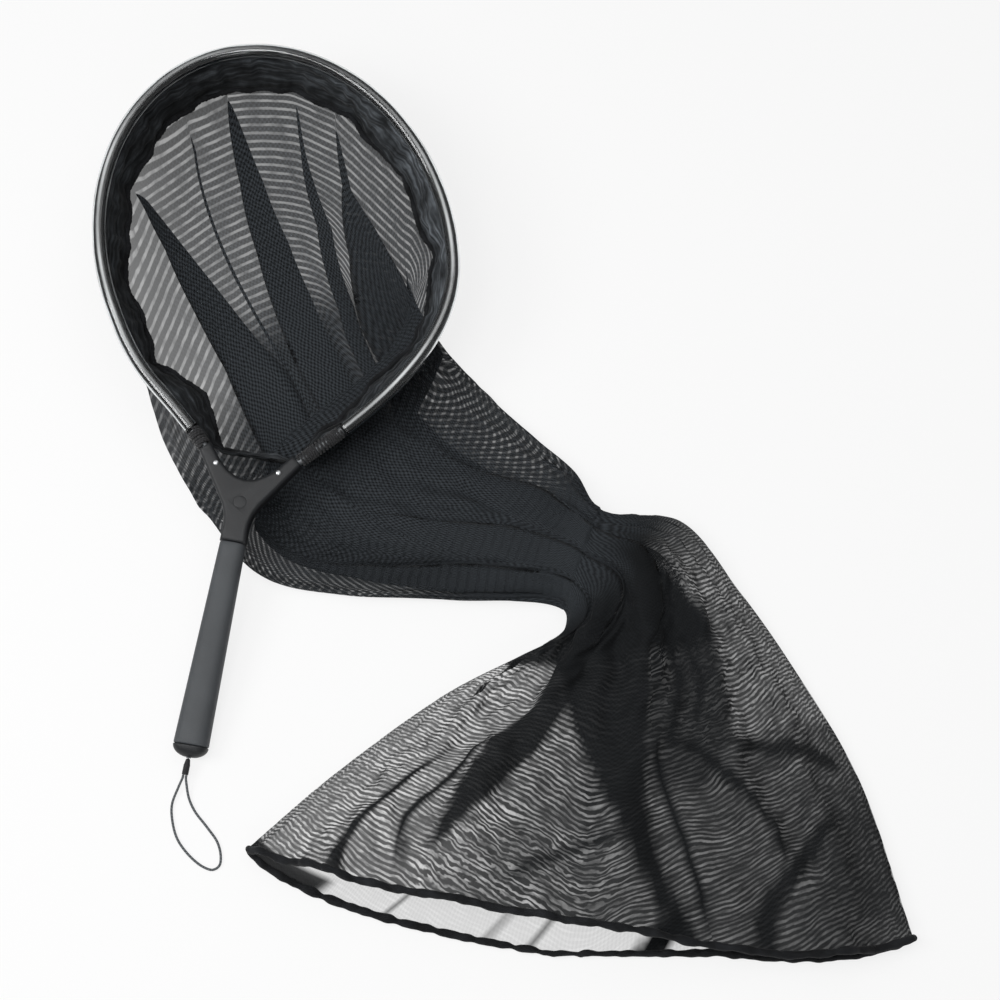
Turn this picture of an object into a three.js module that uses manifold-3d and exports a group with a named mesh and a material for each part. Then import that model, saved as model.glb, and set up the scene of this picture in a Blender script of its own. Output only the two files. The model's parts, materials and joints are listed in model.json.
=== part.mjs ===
// Koi sock net: a moulded yoke and grip hold a riveted aluminium hoop. A cloth collar hangs from the hoop
// and carries a long knitted tube of net, open at its far end, which lies collapsed on the table.
// Millimetres, +Z up. The table is z = 0, and the origin is the middle of the net's footprint on it.
import * as THREE from "three";
import { mergeVertices } from "three/addons/utils/BufferGeometryUtils.js";
import Module from "manifold-3d";

const wasm = await Module();
wasm.setup();

// Fits
const SEAT_GAP = 0.3; // between two pieces that touch
const RIVET_CLEARANCE = 0.3; // round a rivet's shank

// How the net lies: the butt rests on the table and the hoop rises away from it
const BUTT_X = -310;
const BUTT_Y = -281;
const BUTT_HEIGHT = 11; // of the handle's axis at its tip
const HEADING = 10; // degrees from +Y towards +X
const TILT = 9; // degrees up from the table

// Grip and butt cap
const CAP_LENGTH = 12;
const CAP_TIP_ANGLE = 12; // degrees of the dome that the flat round the cord hole takes
const GRIP_LENGTH = 209;
const GRIP_TOP_WIDTH = 26.4;
const GRIP_TOP_THICKNESS = 20;
const GRIP_BUTT_WIDTH = 35.6;
const GRIP_BUTT_THICKNESS = 25;
const GRIP_SQUARENESS = 2.6; // exponent of the oval section
const PLUG_LENGTH = 15; // of the cap inside the grip
const PLUG_INSET = 4; // grip wall round the plug

// Yoke
const YOKE_THICKNESS = 18;
const YOKE_EDGE = 4; // rounding of its moulded edges
const FORK_RISE = 45.5; // from the grip to where the arms' axes meet
const ARM_ANGLE = 45; // degrees from the handle's axis
const ARM_LENGTH = 69.3; // from the fork to the mouth of the socket
const ARM_TIP_WIDTH = 14.4;
const CROTCH_DEPTH = 29.6; // from the tips' inner corners to the bottom of the crotch
const SHOULDER_FILLET = 16; // of each curve between the neck and an arm, limited by the neck
const SHOULDER_ANGLE = 34; // of an arm's outer edge from the handle's axis
const ROUNDEL_RISE = 42; // of the moulded ring above the grip
const ROUNDEL_RADIUS = 7.3;
const ROUNDEL_GROOVE = 1.2;
const ROUNDEL_DEPTH = 0.7;
const TONGUE_LENGTH = 100;
const TONGUE_WIDTH = 15;
const TONGUE_THICKNESS = 10;

// Hoop
const HOOP_SHORT_RADIUS = 182; // of the oval that the tube's axis follows round the far side
const HOOP_LONG_RADIUS = 228;
const HOOP_SKEW = 30.5; // degrees that the oval's long radius leans off the handle's axis
const HOOP_REACH = 278; // from the fork to the middle of the oval
const HOOP_LEAN = 4.3; // degrees that this middle lies off the handle's axis
const HOOP_ARC_START = -21; // degrees round the oval where the right leg ends
const HOOP_ARC_END = 180; // and where the left one begins
const LEG_SWEEP = 95; // length of the curve handles of each leg
const TUBE_RADIUS = 4.5;
const TUBE_WALL = 1;
const SOCKET_DEPTH = 38;
const RIVET_RADIUS = 1.6;
const RIVET_HEAD_RADIUS = 2.8;
const RIVET_HEAD_HEIGHT = 1.4;
const RIVET_SETBACK = 23; // from the mouth of the socket

// Collar: a hem round the tube, and a band that hangs from it and leans inwards
const HEM_CLEARANCE = 0.5; // the hem lies loosely on the tube
const HEM_WALL = 1;
const COLLAR_DEPTH_NEAR = 41; // beside the yoke
const COLLAR_DEPTH_FAR = 62;
const COLLAR_LEAN = 17; // degrees inwards from the hoop's own downwards
const COLLAR_THICKNESS = 1.2;
const COLLAR_GAP_RIGHT = 58; // bare tube between the collar and the right socket
const COLLAR_GAP_LEFT = 24;
const BEAD_RADIUS = 3.5; // rolled seam between the collar and the net

// Clear split sheath over the hem
const SHEATH_WALL = 0.9;
const SHEATH_SLIT = 3.4; // width of the slit that the band comes through

// Lashings: cord wound on the bare ends of the tube
const LASHING_RADIUS = 1;
const LASHING_TURNS_RIGHT = 6;
const LASHING_TURNS_LEFT = 5;
const LASHING_MARGIN = 4; // bare tube left at each end of a lashing

// Knitted tube
const NET_WALL = 2;
const NET_FLAT = 0.7; // share of each half width that lies flat on the table
const NET_UPPER_POINTS = 36; // round its upper layer
const NET_LOWER_POINTS = 12;
const NET_MOUTH_STEPS = 6; // from the collar to the first place below
const NET_STEPS = 18; // from there to the end hem
const NET_DROP = 0.95; // share of its height that the net drops before it turns to the throat
const NET_TURN = 0.75; // share of its run that the net takes to come level
const NET_BOW_POWER = 4; // how squarely the end bows
const NET_BOW_SKEW = 0.35; // how much more it bows on the right
const NET_REACH_LIMIT = 0.45; // share of the right half where the lower layer stops reaching out
const NET_REACH_FADE = 0.5; // share of a half over which it fades
const NET_CROWN_SKEW = 0.35; // how much lower the open end is on the right
const NET_SKEW_START = 0.6; // share of the sock's run past the mouth where this begins
const END_HEM_RADIUS = 4.5;

// Where the collapsed tube lies: its left and right edges, its crown, the height of its folded edges,
// how far its middle bows ahead of its edges, and how far its lower layer reaches past the upper one
const NET_PLACES = [
  { left: [-314, -10], right: [-57, 170], crown: 11, edge: 5, bow: 0, reach: 0 },
  { left: [-247, -88], right: [-11, 116], crown: 22, edge: 6, bow: 0, reach: 0 },
  { left: [-154, -109], right: [42, 64], crown: 32, edge: 7, bow: 0, reach: 0 },
  { left: [-51, -113], right: [79, 29], crown: 38, edge: 8, bow: 0, reach: 0 },
  { left: [66, -126], right: [106, -16], crown: 40, edge: 9, bow: 0, reach: 0 },
  { left: [61, -153], right: [188, -27], crown: 40, edge: 9, bow: 6, reach: 0 },
  { left: [20, -174], right: [247, -105], crown: 36, edge: 8, bow: 10, reach: 0 },
  { left: [-50, -211], right: [294, -180], crown: 32, edge: 7, bow: 15, reach: 0 },
  { left: [-168, -300], right: [355, -299], crown: 34, edge: 8, bow: 22, reach: 10 },
  { left: [-245, -370], right: [397, -456], crown: 46, edge: 11, bow: 33, reach: 28 },
];

// Main folds of the upper layer: degrees round it from its right edge, the places (counted from 1) between
// which each stands, and its height
const FOLD_SPREAD = 10; // degrees from a fold's ridge to its foot
const FOLD_RUN = 1.4; // places that a fold takes to rise or fall
const NET_FOLDS = [
  { turn: 139, from: 6.6, to: 12, height: 9 },
  { turn: 116, from: 5.6, to: 10, height: 10 },
  { turn: 84, from: 5.2, to: 12, height: 13 },
  { turn: 57, from: 5.2, to: 10, height: 11 },
  { turn: 36, from: 6.4, to: 12, height: 9 },
];

// Wrist loop
const CORD_RADIUS = 1.25;
const CORD_HOLE_RADIUS = 2.9;
const CORD_STEPS = 72;
const STRAND_OFFSET = 1.6; // of each strand from the middle of the whipping
const KNOT_RADIUS = 4.4;
const NECK_RADIUS = 2.4; // of the two strands bound together
const PIVOT_OUT = 3; // from the cap's tip to the point that the loop swings about
const WHIPPING_RADIUS = 3.4;
const WHIPPING_START = 4; // from the pivot
const WHIPPING_LENGTH = 10;
const WHIPPING_EDGE = 0.6; // rounding of its ends
// Points that the loop passes on its way round, from its left strand to its right one
const CORD_ROUTE = [
  [-319, -309, 5],
  [-325, -326, 1.8],
  [-324, -341, 1.5],
  [-318, -360, 1.5],
  [-306, -376, 1.5],
  [-291, -388, 1.5],
  [-281, -391, 1.5],
  [-275, -387, 1.5],
  [-274, -378, 1.5],
  [-278, -364, 1.5],
  [-289, -349, 1.5],
  [-302, -333, 1.5],
  [-308.5, -320, 2.4],
  [-311, -308, 5.5],
];

const rad = THREE.MathUtils.degToRad;
const UP = new THREE.Vector3(0, 0, 1);

// How finely the curved pieces are divided
const HOOP_STEPS = 66;
const COLLAR_STEPS = 54;
const BEAD_STEPS = 60;
const SEAM_POINTS = 48;
const OVAL_SIDES = 28;
const SHEATH_SIDES = 10;
const ROUND_SIDES = 12;
const DOME_STEPS = 6;

const finishes = {
  moulding: new THREE.MeshStandardMaterial({ color: 0x424547, roughness: 0.55, metalness: 0 }),
  grip: new THREE.MeshStandardMaterial({ color: 0x46494b, roughness: 0.65, metalness: 0 }),
  aluminium: new THREE.MeshStandardMaterial({ color: 0xc9ccce, roughness: 0.35, metalness: 1 }),
  sheath: new THREE.MeshStandardMaterial({ color: 0xdfe3e4, roughness: 0.12, metalness: 0 }),
  collar: new THREE.MeshStandardMaterial({ color: 0x1b1c1e, roughness: 0.9, metalness: 0 }),
  net: new THREE.MeshStandardMaterial({ color: 0x202123, roughness: 0.9, metalness: 0 }),
  lashing: new THREE.MeshStandardMaterial({ color: 0x1a1a1c, roughness: 0.85, metalness: 0 }),
  cord: new THREE.MeshStandardMaterial({ color: 0x55585a, roughness: 0.8, metalness: 0 }),
};

// Solids and booleans

function toSolid(geometry) {
  const bare = geometry.clone();
  bare.deleteAttribute("normal");
  bare.deleteAttribute("uv");
  const merged = mergeVertices(bare, 1e-3);
  return new wasm.Manifold(
    new wasm.Mesh({
      numProp: 3,
      vertProperties: merged.attributes.position.array,
      triVerts: new Uint32Array(merged.index.array),
    }),
  );
}

function toGeometry(solid) {
  const mesh = solid.getMesh();
  const geometry = new THREE.BufferGeometry();
  geometry.setAttribute("position", new THREE.BufferAttribute(mesh.vertProperties, 3));
  geometry.setIndex(new THREE.BufferAttribute(mesh.triVerts, 1));
  return geometry;
}

function join(first, ...others) {
  return toGeometry(others.reduce((solid, other) => solid.add(toSolid(other)), toSolid(first)));
}

function cut(body, ...tools) {
  return toGeometry(tools.reduce((solid, tool) => solid.subtract(toSolid(tool)), toSolid(body)));
}

// Rows of equally many points, each row closed on itself. A loft gets flat ends, a loop meets its start.
function skin(rows, isLoop) {
  const count = rows[0].length;
  const points = rows.flat();
  const faces = [];
  const bands = isLoop ? rows.length : rows.length - 1;
  for (let i = 0; i < bands; i++) {
    const here = i * count;
    const next = ((i + 1) % rows.length) * count;
    for (let j = 0; j < count; j++) {
      const k = (j + 1) % count;
      faces.push(here + j, here + k, next + k, here + j, next + k, next + j);
    }
  }
  if (!isLoop) {
    const last = (rows.length - 1) * count;
    for (const [start, isFirst] of [[0, true], [last, false]]) {
      const middle = new THREE.Vector3();
      for (let j = 0; j < count; j++) middle.addScaledVector(points[start + j], 1 / count);
      points.push(middle);
      for (let j = 0; j < count; j++) {
        const edge = [start + j, start + ((j + 1) % count)];
        faces.push(points.length - 1, ...(isFirst ? edge.reverse() : edge));
      }
    }
  }
  let volume = 0;
  for (let f = 0; f < faces.length; f += 3) {
    const [a, b, c] = [points[faces[f]], points[faces[f + 1]], points[faces[f + 2]]];
    volume += a.dot(b.clone().cross(c));
  }
  if (volume < 0) faces.reverse();
  const geometry = new THREE.BufferGeometry().setFromPoints(points);
  geometry.setIndex(faces);
  return geometry;
}

function cylinderBetween(start, end, radius) {
  const geometry = new THREE.CylinderGeometry(radius, radius, start.distanceTo(end), ROUND_SIDES);
  const along = end.clone().sub(start).normalize();
  geometry.applyQuaternion(new THREE.Quaternion().setFromUnitVectors(new THREE.Vector3(0, 1, 0), along));
  const middle = start.clone().lerp(end, 0.5);
  return geometry.translate(middle.x, middle.y, middle.z);
}

// A cylinder whose flats, not its corners, lie on the radius: a hole for a round piece
function boreBetween(start, end, radius) {
  return cylinderBetween(start, end, radius / Math.cos(Math.PI / ROUND_SIDES));
}

function polygon(radius, sides) {
  return Array.from({ length: sides }, (_, i) => {
    const angle = (2 * Math.PI * i) / sides;
    return new THREE.Vector2(radius * Math.cos(angle), radius * Math.sin(angle));
  });
}

function polygonAround(radius, sides) {
  return polygon(radius / Math.cos(Math.PI / sides), sides);
}

// A squared oval section across the handle's axis
function oval(width, thickness, y) {
  return Array.from({ length: OVAL_SIDES }, (_, i) => {
    const angle = (2 * Math.PI * i) / OVAL_SIDES;
    const squared = (value) => Math.sign(value) * Math.abs(value) ** (2 / GRIP_SQUARENESS);
    return new THREE.Vector3(
      (width / 2) * squared(Math.cos(angle)),
      y,
      (thickness / 2) * squared(Math.sin(angle)),
    );
  });
}

function bar(width, thickness, from, to) {
  return new THREE.BoxGeometry(width, to - from, thickness).translate(0, (from + to) / 2, 0);
}

// A stretch of a curve between two lengths along it
class Stretch extends THREE.Curve {
  constructor(curve, from, to) {
    super();
    this.curve = curve;
    this.from = from / curve.getLength();
    this.to = to / curve.getLength();
  }
  getPoint(t) {
    return this.curve.getPointAt(THREE.MathUtils.lerp(this.from, this.to, t));
  }
}

// A flat path laid in the hoop's plane
class FlatCurve extends THREE.Curve {
  constructor(path) {
    super();
    this.path = path;
    this.arcLengthDivisions = 400;
  }
  getPoint(t) {
    const point = this.path.getPoint(t);
    return new THREE.Vector3(point.x, point.y, 0);
  }
}

// Cord wound round a curve, one turn after another, as a single tube
class Winding extends THREE.Curve {
  constructor(core, radius, turns) {
    super();
    Object.assign(this, { core, radius, turns });
  }
  getPoint(t) {
    const along = this.core.getTangentAt(t);
    const side = UP.clone().cross(along).normalize();
    const angle = 2 * Math.PI * this.turns * t;
    return this.core
      .getPointAt(t)
      .addScaledVector(UP, this.radius * Math.cos(angle))
      .addScaledVector(side, this.radius * Math.sin(angle));
  }
}

// Handle: its axis is local +Y from the cap's tip, and local +Z faces away from the table

const gripTop = CAP_LENGTH + GRIP_LENGTH;
const fork = gripTop + FORK_RISE;
const armDirection = new THREE.Vector2(Math.sin(rad(ARM_ANGLE)), Math.cos(rad(ARM_ANGLE)));
const armSide = new THREE.Vector2(armDirection.y, -armDirection.x);
const mouth = new THREE.Vector2(0, fork).addScaledVector(armDirection, ARM_LENGTH);

function gripSection(y) {
  const share = (y - CAP_LENGTH) / GRIP_LENGTH;
  return {
    width: THREE.MathUtils.lerp(GRIP_BUTT_WIDTH, GRIP_TOP_WIDTH, share),
    thickness: THREE.MathUtils.lerp(GRIP_BUTT_THICKNESS, GRIP_TOP_THICKNESS, share),
  };
}

function yokeOutline() {
  const neck = GRIP_TOP_WIDTH / 2 - YOKE_EDGE;
  const inset = ARM_TIP_WIDTH / 2 - YOKE_EDGE;
  const tip = mouth.clone().addScaledVector(armDirection, -YOKE_EDGE);
  const outer = tip.clone().addScaledVector(armSide, inset);
  const inner = tip.clone().addScaledVector(armSide, -inset);
  const shoulder = new THREE.Vector2(Math.sin(rad(SHOULDER_ANGLE)), Math.cos(rad(SHOULDER_ANGLE)));
  const corner = outer.clone().addScaledVector(shoulder, (neck - outer.x) / shoulder.x);
  const base = gripTop + SEAT_GAP + YOKE_EDGE;
  const fillet = Math.min(SHOULDER_FILLET, corner.y - base);
  const meet = corner.clone().addScaledVector(shoulder, fillet);
  const crotch = inner.y - 2 * CROTCH_DEPTH - YOKE_EDGE;
  const shape = new THREE.Shape();
  shape.moveTo(neck, base);
  shape.lineTo(neck, corner.y - fillet);
  shape.quadraticCurveTo(corner.x, corner.y, meet.x, meet.y);
  shape.lineTo(outer.x, outer.y);
  shape.lineTo(inner.x, inner.y);
  shape.quadraticCurveTo(0, crotch, -inner.x, inner.y);
  shape.lineTo(-outer.x, outer.y);
  shape.lineTo(-meet.x, meet.y);
  shape.quadraticCurveTo(-corner.x, corner.y, -neck, corner.y - fillet);
  shape.lineTo(-neck, base);
  return shape;
}

function makeYoke() {
  const body = new THREE.ExtrudeGeometry(yokeOutline(), {
    depth: YOKE_THICKNESS - 2 * YOKE_EDGE,
    bevelThickness: YOKE_EDGE,
    bevelSize: YOKE_EDGE,
    bevelSegments: 3,
    curveSegments: 8,
  }).translate(0, 0, YOKE_EDGE - YOKE_THICKNESS / 2);
  const tongue = bar(TONGUE_WIDTH, TONGUE_THICKNESS, gripTop - TONGUE_LENGTH, fork);
  const tools = [];
  for (const sign of [-1, 1]) {
    const out = new THREE.Vector3(sign * armDirection.x, armDirection.y, 0);
    const end = new THREE.Vector3(sign * mouth.x, mouth.y, 0);
    const bottom = end.clone().addScaledVector(out, -SOCKET_DEPTH);
    tools.push(boreBetween(bottom, end.addScaledVector(out, YOKE_EDGE), TUBE_RADIUS + SEAT_GAP));
    const place = rivetPlace(sign);
    const half = new THREE.Vector3(0, 0, YOKE_THICKNESS);
    tools.push(
      boreBetween(place.clone().sub(half), place.clone().add(half), RIVET_RADIUS + RIVET_CLEARANCE),
    );
  }
  const groove = new THREE.LatheGeometry(
    [
      new THREE.Vector2(ROUNDEL_RADIUS - ROUNDEL_GROOVE, -ROUNDEL_DEPTH),
      new THREE.Vector2(ROUNDEL_RADIUS, -ROUNDEL_DEPTH),
      new THREE.Vector2(ROUNDEL_RADIUS, ROUNDEL_DEPTH),
      new THREE.Vector2(ROUNDEL_RADIUS - ROUNDEL_GROOVE, ROUNDEL_DEPTH),
      new THREE.Vector2(ROUNDEL_RADIUS - ROUNDEL_GROOVE, -ROUNDEL_DEPTH),
    ],
    24,
  );
  groove.rotateX(Math.PI / 2).translate(0, gripTop + ROUNDEL_RISE, YOKE_THICKNESS / 2);
  return cut(join(body, tongue), ...tools, groove);
}

function makeGrip() {
  const rows = [CAP_LENGTH, CAP_LENGTH + GRIP_LENGTH / 2, gripTop].map((y) => {
    const { width, thickness } = gripSection(y);
    return oval(width, thickness, y);
  });
  const pocket = bar(
    TONGUE_WIDTH + 2 * SEAT_GAP,
    TONGUE_THICKNESS + 2 * SEAT_GAP,
    gripTop - TONGUE_LENGTH - SEAT_GAP,
    gripTop + SEAT_GAP,
  );
  const { width, thickness } = plugSize();
  const plugBore = skin(
    [CAP_LENGTH - SEAT_GAP, CAP_LENGTH + PLUG_LENGTH + SEAT_GAP].map((y) =>
      oval(width + 2 * SEAT_GAP, thickness + 2 * SEAT_GAP, y),
    ),
    false,
  );
  return cut(skin(rows, false), pocket, plugBore);
}

function plugSize() {
  const { width, thickness } = gripSection(CAP_LENGTH + PLUG_LENGTH);
  return { width: width - 2 * PLUG_INSET, thickness: thickness - 2 * PLUG_INSET };
}

function makeButtCap() {
  const rows = [];
  for (let i = 0; i <= DOME_STEPS; i++) {
    const angle = THREE.MathUtils.lerp(rad(CAP_TIP_ANGLE), Math.PI / 2, i / DOME_STEPS);
    const y = (CAP_LENGTH - SEAT_GAP) * (1 - Math.cos(angle));
    rows.push(oval(GRIP_BUTT_WIDTH * Math.sin(angle), GRIP_BUTT_THICKNESS * Math.sin(angle), y));
  }
  const { width, thickness } = plugSize();
  const plug = skin(
    [CAP_LENGTH / 2, CAP_LENGTH + PLUG_LENGTH].map((y) => oval(width, thickness, y)),
    false,
  );
  const at = (y) => new THREE.Vector3(0, y, 0);
  const hole = boreBetween(at(-CAP_LENGTH), at(CAP_LENGTH), CORD_HOLE_RADIUS);
  const knotPocket = boreBetween(
    at(CAP_LENGTH),
    at(CAP_LENGTH + PLUG_LENGTH + SEAT_GAP),
    KNOT_RADIUS + SEAT_GAP,
  );
  return cut(join(skin(rows, false), plug), hole, knotPocket);
}

// Hoop, in the handle's own frame: from the bottom of the right socket round to that of the left one

function hoopCurve() {
  const lean = rad(HOOP_LEAN);
  const skew = rad(HOOP_SKEW);
  const origin = new THREE.Vector2();
  const middle = new THREE.Vector2(-Math.sin(lean) * HOOP_REACH, fork + Math.cos(lean) * HOOP_REACH);
  const path = new THREE.Path();
  const onArc = (angle) =>
    new THREE.Vector2(HOOP_SHORT_RADIUS * Math.cos(angle), HOOP_LONG_RADIUS * Math.sin(angle))
      .rotateAround(origin, skew)
      .add(middle);
  const tangent = (angle) =>
    new THREE.Vector2(-HOOP_SHORT_RADIUS * Math.sin(angle), HOOP_LONG_RADIUS * Math.cos(angle))
      .rotateAround(origin, skew)
      .normalize();
  const start = rad(HOOP_ARC_START);
  const end = rad(HOOP_ARC_END);
  const rightIn = mouth.clone().addScaledVector(armDirection, SEAT_GAP - SOCKET_DEPTH);
  const rightOut = mouth.clone().addScaledVector(armDirection, LEG_SWEEP);
  const arcIn = onArc(start).addScaledVector(tangent(start), -LEG_SWEEP);
  const arcOut = onArc(end).addScaledVector(tangent(end), LEG_SWEEP);
  path.moveTo(rightIn.x, rightIn.y);
  path.lineTo(mouth.x, mouth.y);
  path.bezierCurveTo(rightOut.x, rightOut.y, arcIn.x, arcIn.y, onArc(start).x, onArc(start).y);
  path.absellipse(middle.x, middle.y, HOOP_SHORT_RADIUS, HOOP_LONG_RADIUS, start, end, false, skew);
  path.bezierCurveTo(arcOut.x, arcOut.y, -rightOut.x, rightOut.y, -mouth.x, mouth.y);
  path.lineTo(-rightIn.x, rightIn.y);
  return new FlatCurve(path);
}

const hoop = hoopCurve();
const hoopLength = hoop.getLength();
const socketRun = SOCKET_DEPTH - SEAT_GAP;
const collarStart = socketRun + COLLAR_GAP_RIGHT;
const collarEnd = hoopLength - socketRun - COLLAR_GAP_LEFT;
const hoopTop = Math.max(...hoop.getPoints(200).map((p) => p.y));

function rivetPlace(sign) {
  const place = mouth.clone().addScaledVector(armDirection, -RIVET_SETBACK);
  return new THREE.Vector3(sign * place.x, place.y, 0);
}

// A section swept along the hoop has its x downwards and its y inwards
function sweep(shape, curve, steps) {
  return new THREE.ExtrudeGeometry(shape, { steps, extrudePath: curve });
}

function makeHoopTube() {
  const section = new THREE.Shape(polygon(TUBE_RADIUS, 10));
  section.holes.push(new THREE.Path(polygon(TUBE_RADIUS - TUBE_WALL, 6)));
  const holes = [-1, 1].map((sign) => {
    const place = rivetPlace(sign);
    const half = new THREE.Vector3(0, 0, 2 * TUBE_RADIUS);
    return boreBetween(
      place.clone().sub(half),
      place.clone().add(half),
      RIVET_RADIUS + RIVET_CLEARANCE,
    );
  });
  return cut(sweep(section, hoop, HOOP_STEPS), ...holes);
}

const hemInner = TUBE_RADIUS + HEM_CLEARANCE;
const hemOuter = hemInner + HEM_WALL;
const sheathInner = hemOuter + SEAT_GAP;
const sheathOuter = sheathInner / Math.cos(Math.PI / SHEATH_SIDES) + SHEATH_WALL;
const bandAngle = rad(COLLAR_LEAN);
const bandDirection = new THREE.Vector2(Math.cos(bandAngle), Math.sin(bandAngle));

// Points of an arc from one angle to another, for a ring that is open where the band hangs
function openArc(radius, opening, steps) {
  const half = Math.asin(opening / 2 / radius);
  return Array.from({ length: steps + 1 }, (_, i) => {
    const angle = bandAngle + half + ((2 * Math.PI - 2 * half) * i) / steps;
    return new THREE.Vector2(radius * Math.cos(angle), radius * Math.sin(angle));
  });
}

function makeSheath() {
  const outside = openArc(sheathOuter, SHEATH_SLIT, SHEATH_SIDES);
  const inside = openArc(sheathInner / Math.cos(Math.PI / SHEATH_SIDES), SHEATH_SLIT, SHEATH_SIDES);
  const section = new THREE.Shape([...outside, ...inside.reverse()]);
  return sweep(section, new Stretch(hoop, collarStart, collarEnd), COLLAR_STEPS);
}

// The collar hangs deeper the further it is from the yoke
function collarDepth(point) {
  const share = (point.y - mouth.y) / (hoopTop - mouth.y);
  return THREE.MathUtils.lerp(COLLAR_DEPTH_NEAR, COLLAR_DEPTH_FAR, share);
}

// A point that hangs from the hoop: a distance along the band and a distance off it
function hanging(curve, t, run, off) {
  const inward = UP.clone().cross(curve.getTangentAt(t)).normalize();
  return curve
    .getPointAt(t)
    .addScaledVector(inward, run * bandDirection.y + off * bandDirection.x)
    .addScaledVector(UP, off * bandDirection.y - run * bandDirection.x);
}

function makeCollar() {
  const path = new Stretch(hoop, collarStart, collarEnd);
  const ring = new THREE.Shape(polygon(hemOuter, 10));
  ring.holes.push(new THREE.Path(polygonAround(hemInner, 8)));
  const half = COLLAR_THICKNESS / 2;
  const top = hemOuter - HEM_WALL / 2;
  const rows = [];
  for (let i = 0; i <= COLLAR_STEPS; i++) {
    const t = i / COLLAR_STEPS;
    const depth = collarDepth(path.getPointAt(t));
    const corners = [[top, -half], [top, half], [depth, half], [depth, -half]];
    rows.push(corners.map(([run, off]) => hanging(path, t, run, off)));
  }
  return join(sweep(ring, path, COLLAR_STEPS), skin(rows, false));
}

// The closed line under the collar, a distance further along its lean, straight across in front of the yoke
function seamLine(extra) {
  const open = new Stretch(hoop, socketRun, hoopLength - socketRun);
  const points = [];
  for (let i = 0; i <= SEAM_POINTS; i++) {
    const t = i / SEAM_POINTS;
    points.push(hanging(open, t, collarDepth(open.getPointAt(t)) + extra, 0));
  }
  return new THREE.CatmullRomCurve3(points, true, "centripetal");
}

function makeBead() {
  const line = seamLine(BEAD_RADIUS + SEAT_GAP);
  const rows = [];
  for (let i = 0; i < BEAD_STEPS; i++) {
    const middle = line.getPointAt(i / BEAD_STEPS);
    const side = UP.clone().cross(line.getTangentAt(i / BEAD_STEPS)).normalize();
    rows.push(
      polygon(BEAD_RADIUS, 6).map((p) =>
        middle.clone().addScaledVector(side, p.x).addScaledVector(UP, p.y),
      ),
    );
  }
  return skin(rows, true);
}

function makeRivet() {
  const half = YOKE_THICKNESS / 2 + SEAT_GAP;
  const profile = [new THREE.Vector2(0, -half - RIVET_HEAD_HEIGHT)];
  const head = (side) =>
    [1 / 3, 2 / 3, 1].map((share) => {
      const rise = RIVET_HEAD_HEIGHT * Math.sqrt(1 - share * share);
      return new THREE.Vector2(RIVET_HEAD_RADIUS * share, side * (half + rise));
    });
  profile.push(...head(-1), new THREE.Vector2(RIVET_RADIUS, -half), new THREE.Vector2(RIVET_RADIUS, half));
  profile.push(...head(1).reverse(), new THREE.Vector2(0, half + RIVET_HEAD_HEIGHT));
  return new THREE.LatheGeometry(profile, ROUND_SIDES).rotateX(Math.PI / 2);
}

function makeLashing(name, from, to, turns) {
  const core = new Stretch(hoop, from, to);
  const coil = TUBE_RADIUS + SEAT_GAP + LASHING_RADIUS;
  const curve = new Winding(core, coil, turns);
  curve.arcLengthDivisions = 60 * turns;
  printSelfGap(name, curve, turns);
  return new THREE.ExtrudeGeometry(new THREE.Shape(polygon(LASHING_RADIUS, 6)), {
    steps: 16 * turns,
    extrudePath: curve,
  });
}

// The least gap between one turn and the next, measured on points a turn apart
function printSelfGap(name, curve, turns) {
  const perTurn = 48;
  const points = curve.getPoints(perTurn * turns);
  let least = Infinity;
  points.forEach((p, i) =>
    points.slice(i + perTurn / 2).forEach((q) => {
      least = Math.min(least, p.distanceTo(q));
    }),
  );
  console.log(`${name}: least gap to itself ${(least - 2 * LASHING_RADIUS).toFixed(2)} mm`);
}

// Knitted tube, in the table's frame

const places = {
  left: new THREE.CatmullRomCurve3(NET_PLACES.map((p) => new THREE.Vector3(...p.left, p.edge))),
  right: new THREE.CatmullRomCurve3(NET_PLACES.map((p) => new THREE.Vector3(...p.right, p.edge))),
  form: new THREE.CatmullRomCurve3(NET_PLACES.map((p) => new THREE.Vector3(p.crown, p.bow, p.reach))),
};

function flowOf(t) {
  const across = places.right.getPoint(t).sub(places.left.getPoint(t));
  return new THREE.Vector3(across.y, -across.x, 0).normalize();
}

// Angles round the tube: its right edge, the upper layer, its left edge and the lower layer
const netAngles = [
  ...Array.from({ length: NET_UPPER_POINTS }, (_, j) => (Math.PI * j) / NET_UPPER_POINTS),
  ...Array.from({ length: NET_LOWER_POINTS }, (_, j) => Math.PI * (1 + j / NET_LOWER_POINTS)),
];

// How far the main folds lift the upper layer
function foldLift(t, angle) {
  const place = 1 + t * (NET_PLACES.length - 1);
  const turn = THREE.MathUtils.radToDeg(angle);
  const { smoothstep } = THREE.MathUtils;
  return NET_FOLDS.reduce((lift, fold) => {
    const away = Math.min(1, Math.abs(turn - fold.turn) / FOLD_SPREAD);
    const rise = smoothstep(place, fold.from, fold.from + FOLD_RUN);
    const fall = smoothstep(place, fold.to - FOLD_RUN, fold.to);
    return lift + fold.height * rise * (1 - fall) * Math.cos((away * Math.PI) / 2) ** 2;
  }, 0);
}

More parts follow.
